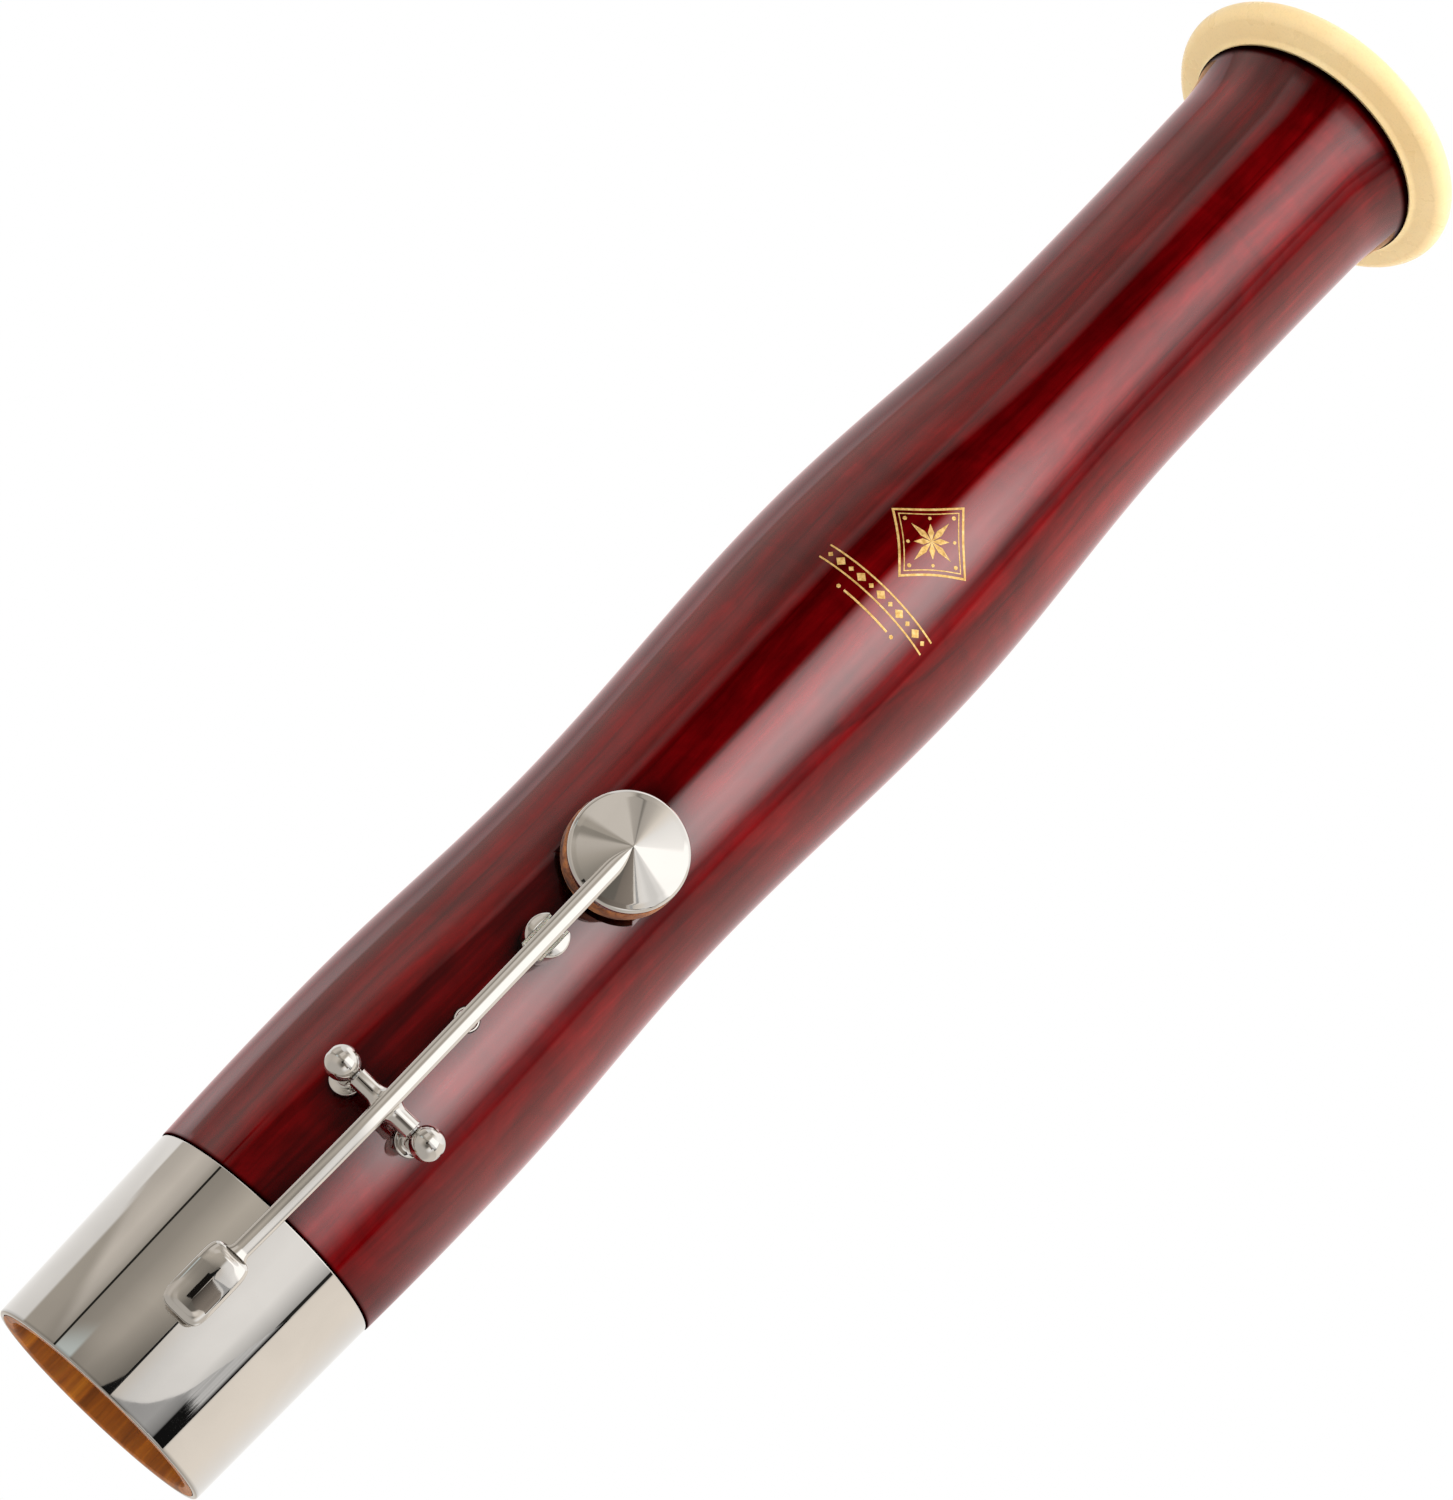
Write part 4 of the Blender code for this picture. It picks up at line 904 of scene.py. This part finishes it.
def rounded_loop(inset, rise, low):
    """A loop of the touch piece: a squared oval, crowned across and falling towards its free end."""
    loop = []
    half_x, half_y, steps = TOUCH_WIDTH / 2, TOUCH_LENGTH / 2, 96
    for i in range(steps):
        turn = 2 * pi * (i + 0.5) / steps
        x = (half_x - inset) * copysign(abs(cos(turn)) ** 0.42, cos(turn))
        y = (half_y - inset) * copysign(abs(sin(turn)) ** 0.36, sin(turn))
        fall = max(0.0, 0.45 - y / half_y) ** 2 * 0.42 + max(0.0, y / half_y - 0.45) ** 2 * 0.35
        height = 2.30 - 0.34 * (x / (half_x - 1.35)) ** 2 if rise is None else rise
        loop.append((x, y, low + height - fall * min(height / 1.4, 1.0) ** 2))
    return loop


def make_touch(metal, cork_material):
    low = TOUCH_TOP - TOUCH_THICK
    levels = [(0.40, 0.0), (0.18, 0.04), (0.05, 0.16), (0.0, 0.34), (0.0, 0.60), (0.0, 0.82), (0.03, 1.02)]
    levels += [(0.10, 1.22), (0.22, 1.42), (0.38, 1.59), (0.58, 1.73), (0.80, 1.83), (1.05, 1.91)]
    levels += [(1.35, 1.98)] + [(inset, None) for inset in (1.65, 1.95, 2.3, 2.7, 3.1, 3.5, 3.85)]
    loops = [rounded_loop(inset, rise, low) for inset, rise in levels]
    spot = on_key(TOUCH_X, TOUCH_Y)
    touch = mesh_object("touch_piece", loft(loops), spot)
    dress(touch, metal, "key", "touch_plate", 50)

    top = low + 0.02
    rest = ferrule_radius(22.1) + 0.06 - HINGE_HEIGHT - TOUCH_Y * sin(OPEN_ANGLE)
    loops = []
    for inset, height in ((1.0, rest), (0.75, rest + 0.08), (0.62, rest + 0.25), (0.6, top)):
        loops.append([(x, y, height) for x, y, _ in rounded_loop(inset, 0.0, 0.0)])
    pad = mesh_object("touch_cork_pad", loft(loops), spot)
    dress(pad, cork_material, "key", "touch_cork")


def spring_height(y):
    seat = arm_top(SCREW_Y) - ARM_DEPTH - 0.05 - SPRING_THICK / 2
    plate = bell_radius(PLATE_Z) + 0.30
    tip = plate - HINGE_HEIGHT - SPRING_TIP_Y * sin(OPEN_ANGLE) + SPRING_THICK / 2
    drop = tip - seat + ARM_SLOPE * (SPRING_TIP_Y - SCREW_Y)
    share = max((y - SPRING_BEND_Y) / (SPRING_TIP_Y - SPRING_BEND_Y), 0.0)
    return seat - ARM_SLOPE * (y - SCREW_Y) + drop * share**1.35


def make_spring(blued, steel):
    sections = []
    for y in stations(3.2, SPRING_BEND_Y, 12) + stations(8.9, SPRING_TIP_Y, 36):
        half = SPRING_WIDTH / 2 - 0.35 * ease(y, SPRING_BEND_Y, SPRING_TIP_Y)
        half *= sqrt(max(1 - max(0.0, (y - SPRING_TIP_Y + 0.9) / 0.95) ** 2, 0.02))
        middle, x, edge = spring_height(y), arm_centre(y), 0.07
        low, high = middle - SPRING_THICK / 2, middle + SPRING_THICK / 2
        sections.append([
            (x - half + edge, y, low), (x + half - edge, y, low), (x + half, y, low + edge),
            (x + half, y, high - edge), (x + half - edge, y, high), (x - half + edge, y, high),
            (x - half, y, high - edge), (x - half, y, low + edge),
        ])
    spring = mesh_object("key_flat_spring", loft(sections), KEY_MATRIX)
    shade(spring, blued)
    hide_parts("flat_spring")
    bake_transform(spring)

    head = spring_height(SCREW_Y) - SPRING_THICK / 2 - 0.02
    wide, thin = 1.2, 0.5
    outline = [(0, head - 0.75), (wide * 0.6, head - 0.75)]
    outline += arc((wide - 0.3, head - 0.45), 0.3, -90, 0, 6)
    outline += [(wide, head), (thin, head), (thin, head + 1.2), (0, head + 1.2)]
    spot = on_key(arm_centre(SCREW_Y), SCREW_Y)
    screw = mesh_object("spring_screw_head", lathe(outline, ROD_STEPS), spot)
    carve(screw, [mesh_object("cut_slot", slab(0.35, 4, head - 0.75 - 0.3, head - 0.75 + 0.3), spot)])
    dress(screw, steel, "key", "spring_screw")


# ---- foil
def on_wood(u, v, rise):
    """A point of the flat drawing wrapped on the wood: u across, v up, in millimetres."""
    z = EMBLEM_Z + v
    reach = bell_radius(z)
    turn = EMBLEM_TURN + u / reach
    return ((reach + rise) * sin(turn), -(reach + rise) * cos(turn), z)


def foil_line(path, width, closed=False):
    """A thin raised line along a path, mitred at its corners."""
    points = [Vector(p) for p in path]
    fine, count = [], len(points)
    for i in range(count if closed else count - 1):
        start, end = points[i], points[(i + 1) % count]
        parts = max(1, round((end - start).length / 0.4))
        fine += [start.lerp(end, k / parts) for k in range(parts)]
    if not closed:
        fine.append(points[-1])
    sections, total = [], len(fine)
    for i, point in enumerate(fine):
        before = fine[i - 1] if closed or i else point
        after = fine[(i + 1) % total] if closed or i < total - 1 else point
        one = (point - before).normalized() if (point - before).length > 0 else None
        two = (after - point).normalized() if (after - point).length > 0 else None
        one, two = one or two, two or one
        middle = (one + two).normalized()
        side = Vector((-middle.y, middle.x)) * (width / 2 / max(middle.dot(one), 0.5))
        left, right = point + side, point - side
        corners = ((left, FOIL_SINK), (left, FOIL_RISE), (right, FOIL_RISE), (right, FOIL_SINK))
        sections.append([on_wood(*corner, rise) for corner, rise in corners])
    return loft(sections, ring=closed)


def foil_patch(centre, corners):
    """A small filled shape, given by corners about its centre."""
    rim, middle = [], Vector(centre)
    for i, one in enumerate(corners):
        other = corners[(i + 1) % len(corners)]
        rim += [Vector(one).lerp(Vector(other), k / 4) + middle for k in range(4)]
    inner = [point.lerp(middle, 0.5) for point in rim]
    points = []
    for loop, rise in ((rim, FOIL_SINK), (rim, FOIL_RISE), (inner, FOIL_RISE), (inner, FOIL_SINK)):
        points += [on_wood(*point, rise) for point in loop]
    points += [on_wood(*middle, FOIL_RISE), on_wood(*middle, FOIL_SINK)]
    count = len(rim)
    faces = []
    for i in range(count):
        j = (i + 1) % count
        faces.append((i, j, count + j, count + i))
        faces.append((count + i, count + j, 2 * count + j, 2 * count + i))
        faces.append((2 * count + i, 2 * count + j, 4 * count))
        faces.append((j, i, 3 * count + i, 3 * count + j))
        faces.append((3 * count + j, 3 * count + i, 4 * count + 1))
    return points, faces


def joined(shapes):
    points, faces = [], []
    for shape_points, shape_faces in shapes:
        start = len(points)
        points += shape_points
        faces += [[start + i for i in face] for face in shape_faces]
    return points, faces


def kite(length, width, turn, start):
    """Corners of a slender ray that points in one direction."""
    along = Vector((cos(turn), sin(turn)))
    side = Vector((-along.y, along.x)) * width / 2
    bulge = start + (length - start) * 0.34
    return [along * start, along * bulge - side, along * length, along * bulge + side]


def lozenge(half_u, half_v, waist=0.0, steps=10):
    """A four pointed outline whose sides can draw in a little."""
    tips = [Vector((half_u, 0)), Vector((0, half_v)), Vector((-half_u, 0)), Vector((0, -half_v))]
    path = []
    for one, other in zip(tips, tips[1:] + tips[:1]):
        for k in range(steps):
            share = k / steps
            point = one.lerp(other, share)
            path.append(tuple(point * (1 - waist * sin(pi * share))))
    return path


def dot(radius):
    """Corners of a small hexagon."""
    turns = [pi * i / 3 for i in range(6)]
    return [(radius * cos(turn), radius * sin(turn)) for turn in turns]


def make_ornament(gold):
    """A plain double lozenge with a rayed star, over two ruled bars."""
    shapes = [foil_line(lozenge(9.0, 9.0, 0.06), 0.42, True), foil_line(lozenge(7.7, 7.7, 0.06), 0.20, True)]
    for i in range(8):
        length = 4.9 if i % 2 == 0 else 3.3
        shapes.append(foil_patch((0, 0), kite(length, 1.15, pi * i / 4, 0.75)))
    for u, v in ((6.3, 0), (-6.3, 0), (0, 6.3), (0, -6.3)):
        shapes.append(foil_patch((u, v), dot(0.42)))
    for u, v in ((3.06, 3.06), (-3.06, 3.06), (3.06, -3.06), (-3.06, -3.06)):
        shapes.append(foil_patch((u, v), dot(0.34)))
    for v in (-12.5, -15.5):
        shapes.append(foil_line([(-12.8, v), (12.8, v)], 0.34))
    for i in range(-5, 6):
        size = (1.05, 0.95) if i % 2 == 0 else (0.55, 0.55)
        shapes.append(foil_patch((i * 2.3, -14.0), lozenge(*size, 0.0, 1)))
    shapes.append(foil_line([(-5.2, -18.0), (5.2, -18.0)], 0.40))
    for u in (-6.4, 6.4):
        shapes.append(foil_patch((u, -18.0), dot(0.42)))
    foil = mesh_object("gold_print_ornament", joined(shapes))
    foil.data.shade_flat()
    foil.data.materials.append(gold)
    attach(foil, "bell")


# ---- studio
def make_floor():
    g = Surface("pale_floor")
    fine = g.noise(300, detail=3)
    colour = g.ramp(fine, [(0.3, (0.86, 0.86, 0.85)), (0.7, (0.90, 0.90, 0.89))])
    diffuse = g.principled(Base_Color=colour, Roughness=0.8, Specular_IOR_Level=0.1)
    glossy = g.node("ShaderNodeLightPath").outputs["Is Glossy Ray"]
    clear = g.node("ShaderNodeBsdfTransparent").outputs[0]
    shader = g.node("ShaderNodeMixShader", {0: glossy, 1: diffuse, 2: clear}).outputs[0]
    floor = mesh_object("floor", lathe(drum(FLOOR_RADIUS, FLOOR_Z, FLOOR_Z - 2), PIN_STEPS))
    floor.data.materials.append(g.finish(shader))


def make_world():
    """White to the camera; a painted tent of panels and gaps in reflections; soft side light otherwise."""
    world = bpy.data.worlds.new("studio")
    bpy.context.scene.world = world
    world.use_nodes = True
    g = Graph(world.node_tree)
    direction = g.node("ShaderNodeTexCoord").outputs["Generated"]
    turn, rise = g.azimuth(direction)
    warm, cool, dark = (1.0, 0.925, 0.835), (1.0, 0.985, 0.965), (1.0, 0.915, 0.80)

    def tint(table):
        return around([(angle, tuple(level * c for c in hue)) for angle, level, hue in table])

    high = g.ramp(turn, tint([
        (-180, 1.02, cool), (-119, 0.98, cool), (-117, 0.58, warm), (-104, 0.62, warm), (-88, 0.72, warm),
        (-74, 0.58, warm), (-64, 0.34, dark), (-50, 0.38, dark), (-26, 0.60, dark), (-10, 0.52, dark),
        (-0.8, 0.44, dark), (0.6, 0.95, cool), (24, 1.06, cool), (44, 1.04, cool), (58, 0.66, cool),
        (66, 0.40, cool), (69, 0.98, warm), (110, 1.02, warm), (150, 0.98, cool), (180, 1.02, cool),
    ]))
    low = g.ramp(turn, tint([
        (-180, 1.04, cool), (-112, 0.86, cool), (-109, 0.46, dark), (-88, 0.44, dark), (-72, 0.36, dark),
        (-64, 0.27, dark), (-50, 0.28, dark), (-30, 0.37, dark), (-14, 0.29, dark), (-1, 0.18, dark),
        (0.8, 0.72, warm), (14, 0.80, cool), (26, 0.88, cool), (44, 0.90, cool), (58, 0.62, cool),
        (66, 0.40, cool), (69, 0.94, warm), (110, 0.98, warm), (150, 0.98, cool), (180, 1.04, cool),
    ]))
    roof = g.ramp(turn, tint([
        (-90, 0.95, cool), (-60, 0.85, cool), (-40, 0.62, warm), (-28, 0.50, warm),
        (-24.6, 0.48, warm), (-23.4, 0.10, dark), (-22, 0.50, warm), (-13, 0.60, warm), (-6, 0.78, warm),
        (0, 0.97, warm), (13, 1.10, cool), (25, 1.20, cool), (38, 1.34, cool), (120, 1.1, cool),
        (180, 0.95, cool),
    ]))
    ground = g.ramp(turn, tint([
        (-180, 0.75, warm), (-80, 0.60, warm), (-42, 0.68, warm), (-32, 0.62, warm), (-25, 0.50, dark),
        (-16, 0.38, dark), (-4, 0.25, dark), (4, 0.15, dark), (19, 0.18, dark), (24, 0.60, warm),
        (28, 0.88, warm), (35, 1.02, cool), (44, 1.12, cool), (54, 0.90, cool), (66, 0.72, warm),
        (120, 0.80, warm), (180, 0.75, warm),
    ]))

    def band(middle, half):
        """1 within half degrees of an azimuth, else 0."""
        offset = g.math("ABSOLUTE", g.math("SUBTRACT", turn, 0.5 + middle / 360))
        return g.smooth(offset, half * 0.8 / 360, half * 1.2 / 360, 1.0, 0.0)

    bend = g.math("MAXIMUM", g.math("MULTIPLY_ADD", turn, -0.4806, 0.1535), 0.0)
    left = g.smooth(g.math("SUBTRACT", rise, bend), sine(2.4), sine(3.3))
    right = g.smooth(rise, sine(2.0), sine(6.0))
    side = g.smooth(turn, 0.5 - 50 / 360, 0.5 - 4 / 360)
    walls = g.mix(g.mix(side, left, right), low, high)
    for middle, half, reach, ends, paint in (
        (30, 34, (7, 11), (0.0, 1.0), (1.52, 1.50, 1.47)),
        (-38, 12, (7, 13), (0.0, 1.0), (0.76, 0.71, 0.65)),
        (-55, 9, (2.7, 3.5), (1.0, 0.0), (0.62, 0.68, 0.67)),
    ):
        patch = g.product(band(middle, half), g.smooth(rise, *map(sine, reach), *ends))
        walls = g.mix(patch, walls, paint)
    gaps = g.math("MAXIMUM", band(-65, 1.1), band(65.4, 1.7))
    gaps = g.product(gaps, g.smooth(rise, sine(7), sine(8.5), 0.97, 0.0))
    walls = g.mix(gaps, walls, (0.008, 0.008, 0.007))
    painted = g.mix(g.smooth(rise, sine(-52), sine(-26)), (0.56, 0.53, 0.49), ground)
    painted = g.mix(g.smooth(rise, sine(-7), sine(-1)), painted, walls)
    painted = g.mix(g.smooth(rise, sine(39), sine(43)), painted, roof)
    painted = g.mix(g.smooth(rise, sine(58), sine(66)), painted, (1.3, 1.28, 1.25))

    side = g.vector("DOT_PRODUCT", direction, (0.72, -0.55, 0.42))["Value"]
    soft = g.smooth(side, -1.0, 1.0, 0.34, 1.62)
    soft = g.times((1.0, 0.985, 0.96), soft)
    path = g.node("ShaderNodeLightPath").outputs
    colour = g.mix(path["Is Glossy Ray"], soft, painted)
    colour = g.mix(path["Is Camera Ray"], colour, WHITE)
    background = g.node("ShaderNodeBackground", {"Color": colour, "Strength": 1.0}).outputs[0]
    g.node("ShaderNodeOutputWorld", {"Surface": background})


def make_painted_reflection_cards():
    """Painted reflections: glowing dark cards low on the right and a thin stand before the bell, seen only
    in the metal.
    """
    card = [(1.2, 19.5), (6, 20.5), (12.4, 21.5), (18, 23), (23.8, 25), (29, 27.2), (34.1, 30), (40.6, 34.5)]
    card += [(44.5, 38), (47.4, 42), (50.1, 48), (54.3, 55), (58.6, 63), (63.6, 74), (66, 78)]
    stand = [(-9, 20), (-5, 23), (-1.1, 27), (-0.7, 58), (0.7, 58), (1.2, 24)]
    apron = [(2.5, 8), (46, 8)]
    points, faces = [], []
    for rim, foot in ((card, PAINTED_CARD_FOOT), (stand, FLOOR_Z), (apron, FLOOR_Z)):
        start = len(points)
        for turn, height in rim:
            angle = radians(turn)
            x, y = PAINTED_CARD_RADIUS * sin(angle), -PAINTED_CARD_RADIUS * cos(angle)
            points += [(x, y, foot), (x, y, height)]
        for i in range(start, len(points) - 2, 2):
            faces.append((i, i + 2, i + 3, i + 1))
    g = Surface("painted_reflection_cards")
    turn, rise = g.azimuth(g.place(1 / MM))
    comb = g.noise((420, 420, 9), detail=2)
    # Painted reflection tones: grey cards with a black band and streaks, and a brown apron below them.
    tone = g.ramp(turn, around([
        (1.2, 0.01), (2.5, 0.34), (14, 0.40), (38, 0.46), (46, 0.34), (50.5, 0.26), (51.5, 0.008),
    ]))
    tall = g.ramp(turn, around([
        (1.2, 0.01), (2.5, 0.34), (14, 0.40), (38, 0.46), (48, 0.56), (62.5, 0.70), (63.8, 0.01),
        (70, 0.008),
    ]))
    tall = g.times(tall, g.ramp(comb, [(0.35, 0.72), (0.6, 1.15)]))
    split = g.math("MULTIPLY_ADD", comb, 16, rise)
    tone = g.mix(g.smooth(split, 46, 48), tone, tall)
    brown = g.ramp(turn, around([
        (2.4, 0.01), (3.5, 0.10), (16, 0.22), (34, 0.36), (42, 0.20), (43, 0.01),
    ]))
    brown = g.times(brown, (1.0, 0.86, 0.74))
    tone = g.mix(g.smooth(rise, 9, 12), brown, tone)
    reflection_cards = mesh_object("painted_reflection_cards", (points, faces))
    glow = g.node("ShaderNodeEmission", {"Color": tone, "Strength": 1.0}).outputs[0]
    reflection_cards.data.materials.append(g.finish(glow))
    reflection_cards.visible_camera = reflection_cards.visible_diffuse = reflection_cards.visible_shadow = False


def make_light():
    """One soft light from the right front, which neither the camera nor the gloss sees."""
    data = bpy.data.lights.new("key_light", "AREA")
    data.shape = "DISK"
    data.size = LIGHT_SIZE * MM
    data.energy = LIGHT_WATTS
    data.color = (1.0, 0.98, 0.95)
    light = add("key_light", data)
    light.location = LIGHT_SPOT * MM
    light.rotation_euler = (LIGHT_AIM - LIGHT_SPOT).to_track_quat("-Z", "Y").to_euler()
    light.visible_camera = False
    light.visible_glossy = False


def make_camera():
    """Looks up at the bell from below its socket, rolled so that the bell leans to the right."""
    data = bpy.data.cameras.new("camera")
    data.sensor_width = SENSOR_WIDTH
    data.lens = LENS
    data.clip_start = 0.01
    camera = add("camera", data)
    aim = Matrix.Rotation(pi / 2 + CAMERA_TILT, 4, "X") @ Matrix.Rotation(CAMERA_ROLL, 4, "Z")
    camera.matrix_world = Matrix.Translation(CAMERA_SPOT * MM) @ aim
    bpy.context.scene.camera = camera


def main():
    metal = nickel_silver("nickel_silver_polished")
    sleeve = nickel_silver("nickel_silver_sleeve", (900, 900, 24), 0.016, foot=0.8)
    bar = nickel_silver("nickel_silver_bar", even=0.75)
    spun = nickel_silver("nickel_silver_spun", (380, 380, 380), 0.035)
    steel = turned_steel()
    make_wood(lacquered_maple(), bare_maple())
    make_ferrule(sleeve)
    make_ring(cream_resin())
    make_posts(metal)
    make_rod(steel)
    make_guide(metal, white_nylon())
    make_spring_plate(metal)
    make_arm(bar)
    make_tube(metal)
    make_cup(spun)
    make_pad(tan_leather())
    make_touch(metal, cork())
    make_spring(blued_steel(), steel)
    make_ornament(gold_foil())
    inner = {
        "pad_felt": fibrous("white_felt", (0.62, 0.59, 0.52), (0.88, 0.86, 0.80), 1400, 0.15),
        "pad_card": fibrous("grey_card", (0.30, 0.27, 0.23), (0.50, 0.46, 0.40), 900, 0.04),
        "pad_shellac": amber_shellac(),
    }
    for node, material in inner.items():
        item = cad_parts[node]
        item.data.materials.clear()
        item.data.materials.append(material)
    make_floor()
    make_painted_reflection_cards()
    make_world()
    make_light()
    make_camera()
    bpy.context.scene.view_settings.view_transform = "Standard"


main()
